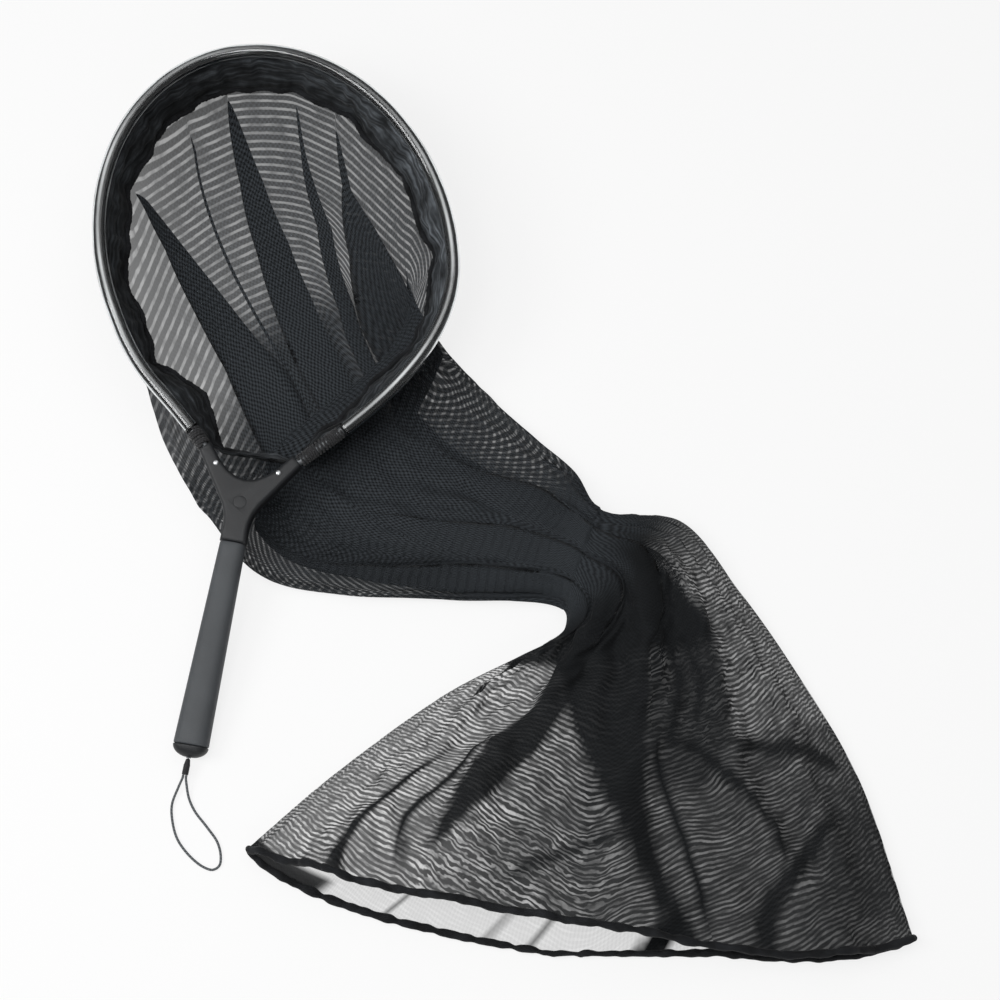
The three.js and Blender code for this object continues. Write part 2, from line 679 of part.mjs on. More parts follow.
// One round of the collapsed tube: a crowned upper layer over a lower layer that lies on the table
function netRound(t) {
  const left = places.left.getPoint(t);
  const right = places.right.getPoint(t);
  const edge = left.z;
  const form = places.form.getPoint(t);
  const flow = flowOf(t);
  const openness = THREE.MathUtils.smoothstep(t, NET_SKEW_START, 1);
  return netAngles.map((angle) => {
    const s = Math.cos(angle);
    const isUpper = angle < Math.PI;
    const lift = Math.max(0, (Math.abs(s) - NET_FLAT) / (1 - NET_FLAT)) ** 2;
    const rise = Math.sqrt(Math.max(0, 1 - s * s));
    const crown = form.x * (1 - NET_CROWN_SKEW * openness * s);
    const bow = form.y * (1 - Math.abs(s) ** NET_BOW_POWER) * (1 + NET_BOW_SKEW * s);
    const reach = form.z * rise * THREE.MathUtils.clamp((NET_REACH_LIMIT - s) / NET_REACH_FADE, 0, 1);
    const point = left.clone().lerp(right, (1 + s) / 2);
    point.z = isUpper ? edge + (crown - edge) * rise + foldLift(t, angle) : edge * lift;
    return point.addScaledVector(flow, bow + (isUpper ? 0 : reach));
  });
}

// The rounds between the collar's seam and the first place: each line of knitting drops, then turns level
function mouthRounds(frame) {
  const line = seamLine(2 * BEAD_RADIUS + 2 * SEAT_GAP + NET_WALL / 2);
  const seam = line.getSpacedPoints(240).map((p) => p.applyMatrix4(frame));
  const middle = new THREE.Vector3();
  seam.forEach((p) => middle.addScaledVector(p, 1 / seam.length));
  const first = netRound(0);
  const across = places.right.getPoint(0).sub(places.left.getPoint(0));
  const heading = Math.atan2(across.y, across.x);
  const flow = flowOf(0);
  const turned = (p, angle) => Math.cos(Math.atan2(p.y - middle.y, p.x - middle.x) - angle);
  const lines = first.map((end, j) => {
    const angle = heading - netAngles[j];
    const start = seam.reduce((best, p) => (turned(p, angle) > turned(best, angle) ? p : best));
    const run = start.distanceTo(end);
    const dropped = start.clone();
    dropped.z = THREE.MathUtils.lerp(start.z, Math.min(start.z, end.z), NET_DROP);
    const level = end.clone().addScaledVector(flow, -NET_TURN * run);
    return new THREE.CubicBezierCurve3(start, dropped, level, end);
  });
  return Array.from({ length: NET_MOUTH_STEPS }, (_, i) =>
    lines.map((curve) => curve.getPoint(i / NET_MOUTH_STEPS)),
  );
}

// The same rounds moved inwards by a distance along the surface's normals
function offsetRounds(rounds, distance) {
  return rounds.map((row, i) =>
    row.map((point, j) => {
      const before = rounds[Math.max(0, i - 1)][j];
      const after = rounds[Math.min(rounds.length - 1, i + 1)][j];
      const along = after.clone().sub(before);
      const round = row[(j + 1) % row.length].clone().sub(row[(j + row.length - 1) % row.length]);
      return point.clone().addScaledVector(along.cross(round).normalize(), distance);
    }),
  );
}

function netRounds(frame) {
  const rounds = mouthRounds(frame);
  for (let i = 0; i <= NET_STEPS; i++) rounds.push(netRound(i / NET_STEPS));
  return rounds;
}

function makeNet(rounds) {
  return skin([...rounds, ...offsetRounds(rounds, NET_WALL).reverse()], true);
}

function makeEndHem(rounds) {
  const middle = offsetRounds(rounds, NET_WALL / 2);
  const last = middle[middle.length - 1];
  const before = middle[middle.length - 2];
  const rows = last.map((point, j) => {
    const out = point.clone().sub(before[j]).normalize();
    const along = last[(j + 1) % last.length].clone().sub(last[(j + last.length - 1) % last.length]);
    const side = along.cross(out).normalize();
    const centre = point.clone().addScaledVector(out, END_HEM_RADIUS + SEAT_GAP);
    centre.z = Math.max(centre.z, END_HEM_RADIUS);
    return polygon(END_HEM_RADIUS, 8).map((p) =>
      centre.clone().addScaledVector(out, p.x).addScaledVector(side, p.y),
    );
  });
  return skin(rows, true);
}

// Wrist loop: the knot sits in the cap, and the bound neck outside it swings about the pivot

function makeKnot() {
  const seat = CAP_LENGTH + SEAT_GAP + KNOT_RADIUS;
  const stub = CORD_HOLE_RADIUS - SEAT_GAP;
  const profile = [new THREE.Vector2(0, NECK_RADIUS - PIVOT_OUT + SEAT_GAP)];
  profile.push(new THREE.Vector2(stub, NECK_RADIUS - PIVOT_OUT + SEAT_GAP));
  const first = Math.asin(stub / KNOT_RADIUS);
  for (let i = 0; i < DOME_STEPS; i++) {
    const angle = THREE.MathUtils.lerp(first, Math.PI, i / DOME_STEPS);
    profile.push(new THREE.Vector2(KNOT_RADIUS * Math.sin(angle), seat - KNOT_RADIUS * Math.cos(angle)));
  }
  profile.push(new THREE.Vector2(0, seat + KNOT_RADIUS));
  return new THREE.LatheGeometry(profile, ROUND_SIDES);
}

function makeWhipping() {
  const profile = [];
  const end = WHIPPING_START + WHIPPING_LENGTH;
  const rounded = WHIPPING_RADIUS - WHIPPING_EDGE;
  profile.push(new THREE.Vector2(0, -end), new THREE.Vector2(rounded, -end));
  profile.push(new THREE.Vector2(WHIPPING_RADIUS, WHIPPING_EDGE - end));
  profile.push(new THREE.Vector2(WHIPPING_RADIUS, -WHIPPING_START - WHIPPING_EDGE));
  profile.push(new THREE.Vector2(rounded, -WHIPPING_START), new THREE.Vector2(NECK_RADIUS, -WHIPPING_START));
  for (let i = 0; i < DOME_STEPS; i++) {
    const angle = (Math.PI / 2) * (i / DOME_STEPS);
    profile.push(new THREE.Vector2(NECK_RADIUS * Math.cos(angle), NECK_RADIUS * Math.sin(angle)));
  }
  profile.push(new THREE.Vector2(0, NECK_RADIUS));
  return new THREE.LatheGeometry(profile, ROUND_SIDES).translate(0, -PIVOT_OUT, 0);
}

function makeLoop(frame) {
  const end = PIVOT_OUT + WHIPPING_START + WHIPPING_LENGTH + SEAT_GAP;
  const strand = (side, run) =>
    new THREE.Vector3(side * STRAND_OFFSET, -end - run, 0).applyMatrix4(frame);
  const points = [
    strand(-1, 0),
    strand(-1, 2 * CORD_RADIUS),
    ...CORD_ROUTE.map((p) => new THREE.Vector3(...p)),
    strand(1, 2 * CORD_RADIUS),
    strand(1, 0),
  ];
  const curve = new THREE.CatmullRomCurve3(points, false, "centripetal");
  console.log(`wrist loop: ${curve.getLength().toFixed(0)} mm of free cord`);
  return new THREE.ExtrudeGeometry(new THREE.Shape(polygon(CORD_RADIUS, 6)), {
    steps: CORD_STEPS,
    extrudePath: curve,
  });
}

// Assembly

function piece(name, geometry, material) {
  const mesh = new THREE.Mesh(geometry, material);
  mesh.name = name;
  return mesh;
}

const handle = new THREE.Group();
handle.position.set(BUTT_X, BUTT_Y, BUTT_HEIGHT);
handle.rotation.set(rad(TILT), 0, -rad(HEADING), "ZXY");
handle.updateMatrix();

handle.add(piece("yoke", makeYoke(), finishes.moulding));
handle.add(piece("grip_sleeve", makeGrip(), finishes.grip));
handle.add(piece("butt_cap", makeButtCap(), finishes.moulding));
handle.add(piece("hoop_tube", makeHoopTube(), finishes.aluminium));
handle.add(piece("hoop_sheath", makeSheath(), finishes.sheath));
handle.add(piece("net_collar", makeCollar(), finishes.collar));
handle.add(piece("collar_bead", makeBead(), finishes.collar));
for (const [name, sign] of [["rivet_left", -1], ["rivet_right", 1]]) {
  const rivet = piece(name, makeRivet(), finishes.aluminium);
  rivet.position.copy(rivetPlace(sign));
  handle.add(rivet);
}
const rightLashing = [socketRun + LASHING_MARGIN, collarStart - LASHING_MARGIN, LASHING_TURNS_RIGHT];
const leftLashing = [collarEnd + LASHING_MARGIN, hoopLength - socketRun - LASHING_MARGIN, LASHING_TURNS_LEFT];
handle.add(piece("lashing_right", makeLashing("lashing_right", ...rightLashing), finishes.lashing));
handle.add(piece("lashing_left", makeLashing("lashing_left", ...leftLashing), finishes.lashing));
handle.add(piece("lanyard_knot", makeKnot(), finishes.cord));
handle.add(piece("lanyard_whipping", makeWhipping(), finishes.lashing));

const rounds = netRounds(handle.matrix);
const lanyard = piece("lanyard_cord", makeLoop(handle.matrix), finishes.cord);

const net = new THREE.Group();
net.add(handle, piece("net_sock", makeNet(rounds), finishes.net));
net.add(piece("end_hem", makeEndHem(rounds), finishes.collar));

// The origin: the middle of the footprint of all but the wrist loop
const whipping = handle.getObjectByName("lanyard_whipping");
handle.remove(whipping);
const box = new THREE.Box3().setFromObject(net, true);
handle.add(whipping);
net.add(lanyard);
const middle = box.getCenter(new THREE.Vector3());
net.position.set(-middle.x, -middle.y, -box.min.z);

const part = new THREE.Group();
part.add(net);
export default part;
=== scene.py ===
"""Looks of the koi sock net on a table: moulded handle, sheathed hoop, gathered collar and knitted sock."""

from __future__ import annotations

import json
import logging
import math
from dataclasses import dataclass
from enum import Enum
from functools import reduce
from typing import Sequence

import bmesh
import bpy
import numpy as np
from mathutils import Matrix, Vector

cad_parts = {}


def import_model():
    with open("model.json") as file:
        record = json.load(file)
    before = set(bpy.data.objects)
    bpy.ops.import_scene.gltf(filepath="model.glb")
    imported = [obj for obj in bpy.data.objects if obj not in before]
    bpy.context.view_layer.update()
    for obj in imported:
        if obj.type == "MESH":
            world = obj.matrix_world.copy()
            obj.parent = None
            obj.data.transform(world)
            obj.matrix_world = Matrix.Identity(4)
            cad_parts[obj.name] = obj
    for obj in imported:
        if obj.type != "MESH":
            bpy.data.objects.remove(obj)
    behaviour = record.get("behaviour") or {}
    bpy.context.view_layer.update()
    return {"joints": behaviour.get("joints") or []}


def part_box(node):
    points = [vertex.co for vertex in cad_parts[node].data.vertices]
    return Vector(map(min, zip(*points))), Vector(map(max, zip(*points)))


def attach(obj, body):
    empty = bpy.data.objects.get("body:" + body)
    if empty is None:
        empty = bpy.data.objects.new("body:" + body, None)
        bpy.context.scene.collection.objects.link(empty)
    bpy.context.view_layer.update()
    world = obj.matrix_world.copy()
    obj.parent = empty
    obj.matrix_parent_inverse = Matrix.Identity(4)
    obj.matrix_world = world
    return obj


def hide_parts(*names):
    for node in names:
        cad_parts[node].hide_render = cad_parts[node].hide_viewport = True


LOG = logging.getLogger("sock_net")
Array = np.ndarray
Socket = bpy.types.NodeSocket
Span = tuple[float, float]
Knots = tuple[tuple[float, ...], ...]
Grid = tuple[Array, Array]
UP = np.array([0.0, 0.0, 1.0])
TURN = 2 * math.pi
WELD = 1e-6  # points nearer than this become one
SEAT = 0.0003  # room between a piece and what it sits on
PIVOT_OUT = 0.003  # from the cap's tip out to the wrist loop's pivot
WAVE_RATE = 20.0  # Blender's wave texture runs this much faster than its scale says


class Body(Enum):
    """The two bodies that pieces ride on."""

    NET = "net"
    LOOP = "wrist_loop"


class Slot(Enum):
    """The record's material slots."""

    MOULDING = "moulded_plastic"
    GRIP = "grip_plastic"
    ALUMINIUM = "aluminium_tube"
    SHEATH = "clear_sheath"
    CLOTH = "collar_cloth"
    NET = "knitted_net"
    LASHING = "lashing_cord"
    CORD = "loop_cord"


# Points and curves


def moved(matrix: Matrix, points: Array) -> Array:
    """Applies a 4x4 placement to points along the last axis."""
    m = np.array(matrix)
    return points @ m[:3, :3].T + m[:3, 3]


def unit(vectors: Array) -> Array:
    """Scales vectors on the last axis to length 1."""
    return vectors / np.maximum(np.linalg.norm(vectors, axis=-1, keepdims=True), 1e-9)


def smoothstep(low: float, high: float, x: Array) -> Array:
    """Rises smoothly from 0 at low to 1 at high."""
    t = np.clip((np.asarray(x, dtype=float) - low) / (high - low), 0.0, 1.0)
    return t * t * (3.0 - 2.0 * t)


def window(rise: Span, fall: Span, x: Array) -> Array:
    """Rises from 0 to 1 over the first span and falls back over the second."""
    return smoothstep(*rise, x) * smoothstep(fall[1], fall[0], x)


def mixed(a: Array | float, b: Array | float, share: Array) -> Array:
    """Goes from a to b as share goes from 0 to 1."""
    return a + share * (b - a)


def between(knots: Knots, x: Array) -> list[Array]:
    """Reads a table of knots.

    Args:
        knots: Rows of a place and its values, in rising order of place.
        x: The places to read.

    Returns:
        One array for each value in a row.
    """
    at, *columns = np.array(knots, dtype=float).T
    return [np.interp(x, at, column) for column in columns]


def through(points: Sequence[Sequence[float]], t: Array) -> Array:
    """Follows a centripetal Catmull-Rom curve through points.

    Args:
        points: The points that the curve passes.
        t: Places on it from 0 to 1, an equal share for each pair of points.

    Returns:
        One row for each place.
    """
    p = np.asarray(points, dtype=float)
    p = np.vstack([2 * p[0] - p[1], p, 2 * p[-1] - p[-2]])
    place = np.clip(np.asarray(t, dtype=float), 0, 1) * (len(p) - 3)
    i = np.minimum(place.astype(int), len(p) - 4)
    w = (place - i)[:, None]
    gap = np.maximum(np.sqrt(np.linalg.norm(np.diff(p, axis=0), axis=1)), 1e-4)
    d0, d1, d2 = gap[i][:, None], gap[i + 1][:, None], gap[i + 2][:, None]
    a, b, c, d = p[i], p[i + 1], p[i + 2], p[i + 3]
    start = d1 * ((b - a) / d0 - (c - a) / (d0 + d1) + (c - b) / d1)
    end = d1 * ((c - b) / d1 - (d - b) / (d1 + d2) + (d - c) / d2)
    return b + start * w + (3 * (c - b) - 2 * start - end) * w**2 + (2 * (b - c) + start + end) * w**3


def bezier(a: Array, b: Array, c: Array, d: Array, t: Array) -> Array:
    """A cubic curve from a to d, with b and c as its handles."""
    return a * (1 - t) ** 3 + 3 * b * (1 - t) ** 2 * t + 3 * c * (1 - t) * t**2 + d * t**3


def lengths_along(points: Array) -> Array:
    """Distance of each point from the first, along the line."""
    steps = np.linalg.norm(np.diff(points, axis=0), axis=-1)
    return np.concatenate([np.zeros((1,) + steps.shape[1:]), np.cumsum(steps, axis=0)])


def at_lengths(points: Array, places: Array) -> Array:
    """Points of a line at lengths along it."""
    run = lengths_along(points)
    return np.stack([np.interp(places, run, column) for column in points.T], axis=1)


def resampled(points: Array, count: int) -> Array:
    """Spaces count points evenly along a line."""
    return at_lengths(points, np.linspace(0, lengths_along(points)[-1], count))


def closed(points: Array) -> Array:
    """Adds the first point again at the end."""
    return np.concatenate([points, points[:1]])


def heading(line: Array, loop: bool = False) -> Array:
    """Direction of a line at each point.

    Args:
        line: Points of the line.
        loop: Whether its last point is its first again.

    Returns:
        Unit vectors.
    """
    along = np.gradient(line, axis=0)
    if loop:
        along[0] = along[-1] = line[1] - line[-2]
    return unit(along)


@dataclass(frozen=True)
class Ripple:
    """A smooth random field of a few waves, the same on every run.

    Its wavelengths lie between the two of across for the first coordinate, and between the two of along for
    the second.
    """

    seed: int
    across: Span
    along: Span = (1.0, 2.0)
    count: int = 9
    height: float = 1.0
    spread: float = 0.8  # keeps the field between about -1 and 1 heights

    def __call__(self, x: Array, y: Array | float = 0.0) -> Array:
        """Height of the field at points.

        Args:
            x: Their first coordinate, in the unit of the wavelengths.
            y: Their second coordinate.

        Returns:
            Heights.
        """
        rng = np.random.default_rng(self.seed)
        kx = TURN / rng.uniform(*self.across, self.count) * rng.choice([-1.0, 1.0], self.count)
        ky = TURN / rng.uniform(*self.along, self.count)
        phase = rng.uniform(0, TURN, self.count)
        waves = sum(np.sin(a * x + b * y + c) for a, b, c in zip(kx, ky, phase))
        return self.height * waves / math.sqrt(self.count) * self.spread


# Meshes


def linked(name: str, bm: bmesh.types.BMesh, sharp: float | None = None) -> bpy.types.Object:
    """Puts a finished mesh into the scene, smooth, at the origin.

    Args:
        name: Name of the piece.
        bm: Its mesh, which is freed.
        sharp: Edges that turn by more degrees than this stay sharp.

    Returns:
        The new object.
    """
    mesh = bpy.data.meshes.new(name)
    bm.to_mesh(mesh)
    bm.free()
    mesh.shade_smooth()
    if sharp is not None:
        mesh.set_sharp_from_angle(angle=math.radians(sharp))
    piece = bpy.data.objects.new(name, mesh)
    bpy.context.scene.collection.objects.link(piece)
    return piece


def grid_piece(name: str, grid: Grid, wraps: bool = False, loops: bool = False, capped: bool = False,
               marks: dict[str, Array] | None = None) -> bpy.types.Object:
    """Bends a flat grid to rows of points, and closes it where it meets itself.

    Args:
        name: Name of the piece.
        grid: Rows of points and their cloth coordinates, in metres.
        wraps: Whether each row's last point is its first again.
        loops: Whether the last row is the first again.
        capped: Whether the two open ends get faces.
        marks: Values for each point that the finish reads, by name.

    Returns:
        The new object.
    """
    rows, uv = grid
    count, width = rows.shape[:2]
    bm = bmesh.new()
    bmesh.ops.create_grid(bm, x_segments=width - 1, y_segments=count - 1, size=1.0)
    flat = bpy.data.meshes.new("flat_grid")
    bm.to_mesh(flat)
    place = np.empty(len(flat.vertices) * 3)
    flat.vertices.foreach_get("co", place)
    place = (place.reshape(-1, 3) + 1) / 2
    column = np.rint(place[:, 0] * (width - 1)).astype(int)
    row = np.rint(place[:, 1] * (count - 1)).astype(int)
    flat.vertices.foreach_set("co", rows[row, column].astype(np.float32).ravel())
    corner = np.empty(len(flat.loops), dtype=np.int32)
    flat.loops.foreach_get("vertex_index", corner)
    layer = flat.uv_layers.new(name="Cloth")
    layer.uv.foreach_set("vector", uv[row, column][corner].astype(np.float32).ravel())
    for mark, values in (marks or {}).items():
        store = flat.attributes.new(mark, "FLOAT", "POINT")
        store.data.foreach_set("value", values[row, column].astype(np.float32))
    bm.clear()
    bm.from_mesh(flat)
    bpy.data.meshes.remove(flat)
    if wraps or loops:
        bmesh.ops.remove_doubles(bm, verts=[v for v in bm.verts if v.is_boundary], dist=WELD)
    if capped:
        bmesh.ops.holes_fill(bm, edges=[e for e in bm.edges if e.is_boundary], sides=0)
    if capped or (wraps and loops):
        bmesh.ops.recalc_face_normals(bm, faces=bm.faces)
    return linked(name, bm)


def spun(name: str, profile: Sequence[Span], axis: Sequence[float], steps: int, place: Matrix,
         sharp: float | None = None) -> bpy.types.Object:
    """Turns a profile about an axis.

    Args:
        name: Name of the piece.
        profile: Radius and place along the axis, point by point.
        axis: The axis, square to X.
        steps: Steps of the turn.
        place: Where the piece goes.
        sharp: Edges that turn by more degrees than this stay sharp.

    Returns:
        The new object.
    """
    bm = bmesh.new()
    points = [bm.verts.new(Vector((radius, 0.0, 0.0)) + Vector(axis) * along) for radius, along in profile]
    edges = [bm.edges.new(pair) for pair in zip(points, points[1:])]
    bmesh.ops.spin(bm, geom=points + edges, cent=(0, 0, 0), axis=axis, angle=TURN, steps=steps,
                   use_merge=True)
    bmesh.ops.remove_doubles(bm, verts=bm.verts, dist=WELD)
    bmesh.ops.recalc_face_normals(bm, faces=bm.faces)
    bmesh.ops.transform(bm, matrix=place, verts=bm.verts)
    return linked(name, bm, sharp)


def spokes(side: Array, top: Array, angle: Array) -> Array:
    """Directions round a line: a ring of them for each of its points."""
    return side[:, None] * np.cos(angle)[None, :, None] + top[:, None] * np.sin(angle)[None, :, None]


def cloth_uv(around: Array, along: Array) -> Array:
    """Cloth coordinates of a grid, from those of its columns and of its rows."""
    return np.stack(np.broadcast_arrays(around[None], along[:, None]), axis=-1)


def tube_rows(line: Array, radius: Array | float, sides: int, up: Array = UP, loop: bool = False) -> Grid:
    """Puts rings round a line.

    Args:
        line: Points of the line.
        radius: One radius, or one for each point.
        sides: Points in a ring, without the closing one.
        up: A direction that the line never follows.
        loop: Whether the line's last point is its first again.

    Returns:
        Rows of ring points, and their coordinates round and along.
    """
    along = heading(line, loop)
    side = unit(np.cross(up, along))
    angle = np.linspace(0, TURN, sides + 1)
    size = np.broadcast_to(np.asarray(radius, dtype=float), (len(line),))
    rows = line[:, None] + spokes(side, np.cross(along, side), angle) * size[:, None, None]
    return rows, cloth_uv(angle * size.mean(), lengths_along(line))


def section_rows(rings: Sequence[Array]) -> Grid:
    """Joins rings of equally many points, each of which it closes.

    Args:
        rings: The rings in order.

    Returns:
        Rows for a grid piece, and their coordinates.
    """
    rows = np.stack([closed(ring) for ring in rings])
    return rows, cloth_uv(lengths_along(rows[len(rows) // 2]), lengths_along(rows.mean(axis=1)))


# Finishes


def linear(hex_colour: str) -> tuple[float, float, float, float]:
    """Turns an sRGB hex value into a linear colour.

    Args:
        hex_colour: The value, with its hash sign.

    Returns:
        The colour, with alpha 1.
    """
    values = [int(hex_colour[i : i + 2], 16) / 255 for i in (1, 3, 5)]
    r, g, b = (v / 12.92 if v <= 0.04045 else ((v + 0.055) / 1.055) ** 2.4 for v in values)
    return (r, g, b, 1.0)


class Nodes:
    """A new material's nodes, with short ways to add those that the finishes share."""

    def __init__(self, name: str) -> None:
        """Makes the material, empty.

        Args:
            name: Its name.
        """
        self.material = bpy.data.materials.new(name)
        self.material.use_nodes = True
        self.tree = self.material.node_tree
        self.tree.nodes.clear()

    def add(self, kind: str, inputs: dict | None = None, **settings: object) -> bpy.types.Node:
        """Adds a node with its settings, and fills or links its sockets.

        Args:
            kind: Its type, without the word ShaderNode that each starts with.
            inputs: Socket name or number to a value, or to the socket that feeds it.
            settings: The node's own properties.

        Returns:
            The node.
        """
        node = self.tree.nodes.new("ShaderNode" + kind)
        for name, value in settings.items():
            setattr(node, name, value)
        for key, value in (inputs or {}).items():
            if isinstance(value, Socket):
                self.tree.links.new(value, node.inputs[key])
            else:
                node.inputs[key].default_value = value
        return node

    def finish(self, shader: bpy.types.Node) -> bpy.types.Material:
        """Puts the shader on the surface, and returns the material."""
        self.add("OutputMaterial", {"Surface": shader.outputs[0]})
        return self.material

    def cloth(self) -> Socket:
        """Cloth coordinates of the piece, in metres."""
        return self.add("TexCoord").outputs["UV"]

    def parts(self, where: Socket) -> tuple[Socket, Socket]:
        """The two cloth coordinates, round and along."""
        node = self.add("SeparateXYZ", {"Vector": where})
        return node.outputs["X"], node.outputs["Y"]

    def stretched(self, where: Socket, rates: Span) -> Socket:
        """Coordinates at two rates."""
        return self.add("Mapping", {"Vector": where, "Scale": (*rates, 1.0)}).outputs["Vector"]

    def mark(self, name: str) -> Socket:
        """A value that the piece's points carry."""
        return self.add("Attribute", attribute_name=name).outputs["Fac"]

    def math(self, operation: str, *values: float | Socket, clamp: bool = False) -> Socket:
        """An operation on values or sockets."""
        node = self.add("Math", dict(enumerate(values)), operation=operation, use_clamp=clamp)
        return node.outputs["Value"]

    def product(self, *values: float | Socket) -> Socket:
        """All of the values multiplied."""
        return reduce(lambda first, other: self.math("MULTIPLY", first, other), values)

    def remap(self, value: Socket, span: tuple = (0.0, 1.0), to: tuple = (0.0, 1.0),
              smooth: bool = False) -> Socket:
        """Carries one span of values to another and holds them at its ends.

        Args:
            value: What is mapped.
            span: The two values that it starts from, or their sockets.
            to: The two values that they become.
            smooth: Whether it eases in and out.

        Returns:
            The mapped value.
        """
        inputs = {"Value": value, "From Min": span[0], "From Max": span[1], "To Min": to[0], "To Max": to[1]}
        kind = "SMOOTHSTEP" if smooth else "LINEAR"
        return self.add("MapRange", inputs, interpolation_type=kind).outputs["Result"]

    def noise(self, where: Socket, rate: float | Span, detail: float) -> Socket:
        """Cloudy values about 0.5.

        Args:
            where: The coordinates.
            rate: How many clouds there are to a metre, or how many round and along.
            detail: How many finer layers lie on them.

        Returns:
            The values.
        """
        if isinstance(rate, tuple):
            where, rate = self.stretched(where, rate), 1.0
        return self.add("TexNoise", {"Vector": where, "Scale": rate, "Detail": detail}).outputs["Fac"]

    def tinted(self, colour: str, scale: Socket) -> Socket:
        """A colour made lighter or darker."""
        inputs = {0: linear(colour)[:3], "Scale": scale}
        return self.add("VectorMath", inputs, operation="SCALE").outputs["Vector"]

    def bump(self, height: Socket, strength: float, depth: float, invert: bool = False) -> Socket:
        """A relief of some depth in metres."""
        inputs = {"Height": height, "Strength": strength, "Distance": depth}
        return self.add("Bump", inputs, invert=invert).outputs["Normal"]


@dataclass(frozen=True)
class Finish:
    """A real material with its slot in the record, made once and shared by the pieces that are of it."""

    name: str
    colour: str
    slot: Slot

    def material(self) -> bpy.types.Material:
        """Makes the material the first time, and finds it from then on.

        Returns:
            The material.
        """
        found = bpy.data.materials.get(self.name)
        if found:
            return found
        nodes = Nodes(self.name)
        return nodes.finish(self.shade(nodes))

    def shade(self, nodes: Nodes) -> bpy.types.Node:
        """Adds the shader to the nodes of a material."""
        raise NotImplementedError


@dataclass(frozen=True)
class MouldedPlastic(Finish):
    """Glass-filled polypropylene from a spark-eroded mould: satin, with a fine even grain and dull wear."""

    roughness: float = 0.5
    grain: float = 0.0011  # real grain is near 0.2 mm; drawn coarser so that it shows
    flow_marks: float = 28.0  # to a metre

    def shade(self, nodes: Nodes) -> bpy.types.Node:
        """Adds a satin shader with grain, faint flow marks and small worn places.

        Args:
            nodes: Nodes of the material.

        Returns:
            The shader.
        """
        where = nodes.add("TexCoord").outputs["Object"]
        grain = nodes.noise(where, 1 / self.grain, detail=3.0)
        tone = nodes.remap(nodes.noise(where, self.flow_marks, detail=4.0), span=(0.3, 0.7), to=(0.88, 1.12))
        rough = nodes.remap(grain, span=(0.25, 0.75), to=(self.roughness - 0.07, self.roughness + 0.1))
        return nodes.add("BsdfPrincipled", {
            "Base Color": nodes.tinted(self.colour, tone),
            "Roughness": rough,
            "Normal": nodes.bump(grain, strength=0.28, depth=0.0004),
            "IOR": 1.49,
        })


@dataclass(frozen=True)
class DrawnAluminium(Finish):
    """Drawn aluminium: fine lines along the draw, and a soft grey oxide that dulls it."""

    roughness: Span = (0.2, 0.42)
    lines: Span = (2600.0, 60.0)  # scratches to a metre, round and along

    def shade(self, nodes: Nodes) -> bpy.types.Node:
        """Adds a metal shader with fine scratches.

        Args:
            nodes: Nodes of the material.

        Returns:
            The shader.
        """
        lines = nodes.noise(nodes.cloth(), self.lines, detail=3.0)
        return nodes.add("BsdfPrincipled", {
            "Base Color": linear(self.colour),
            "Metallic": 1.0,
            "Roughness": nodes.remap(lines, to=self.roughness),
            "Normal": nodes.bump(lines, strength=0.12, depth=0.0002),
        })


@dataclass(frozen=True)
class ClearVinyl(Finish):
    """Extruded soft PVC: clear and glossy, with slow waves from the die and a pale band along its top that is
    a painted highlight.
    """

    waves: Span = (120.0, 16.0)  # to a metre, round and along
    # breaks in the painted highlight, to a metre, round and along
    highlight_breaks: Span = (60.0, 9.0)
    crown: float = 0.0194  # where the top lies round the sheath
    rubbed: float = 0.0028  # half the width of the painted highlight band along the top
    side: float = 0.85  # where the painted highlight is brightest, along the sheath
    span: float = 0.7  # from one such place to the next

    def shade(self, nodes: Nodes) -> bpy.types.Node:
        """Adds a clear shader with gentle waves and the painted highlight band.

        Args:
            nodes: Nodes of the material.

        Returns:
            The shader.
        """
        where = nodes.cloth()
        around, along = nodes.parts(where)
        wave = nodes.noise(where, self.waves, detail=2.0)
        # Painted highlight: a pale band along the top, broken by noise and strongest at places along the
        # sheath, where the clear shader gives way to its pale base colour
        off = nodes.math("ABSOLUTE", nodes.math("SUBTRACT", around, self.crown))
        band = nodes.remap(off, span=(self.rubbed, 0.1 * self.rubbed), smooth=True)
        worn = nodes.remap(nodes.noise(where, self.highlight_breaks, detail=2.0), span=(0.35, 0.65), to=(0.3, 0.9))
        turn = nodes.product(nodes.math("SUBTRACT", along, self.side), TURN / self.span)
        sides = nodes.remap(nodes.math("COSINE", turn), span=(-1.0, 1.0), to=(0.1, 1.0))
        painted_highlight = nodes.product(band, worn, sides)
        return nodes.add("BsdfPrincipled", {
            "Base Color": linear(self.colour),
            "Roughness": nodes.remap(wave, to=(0.04, 0.14)),
            "IOR": 1.53,
            "Transmission Weight": nodes.math("SUBTRACT", 1.0, painted_highlight),
            "Specular IOR Level": 0.9,
            "Normal": nodes.bump(wave, strength=0.35, depth=0.001),
        })


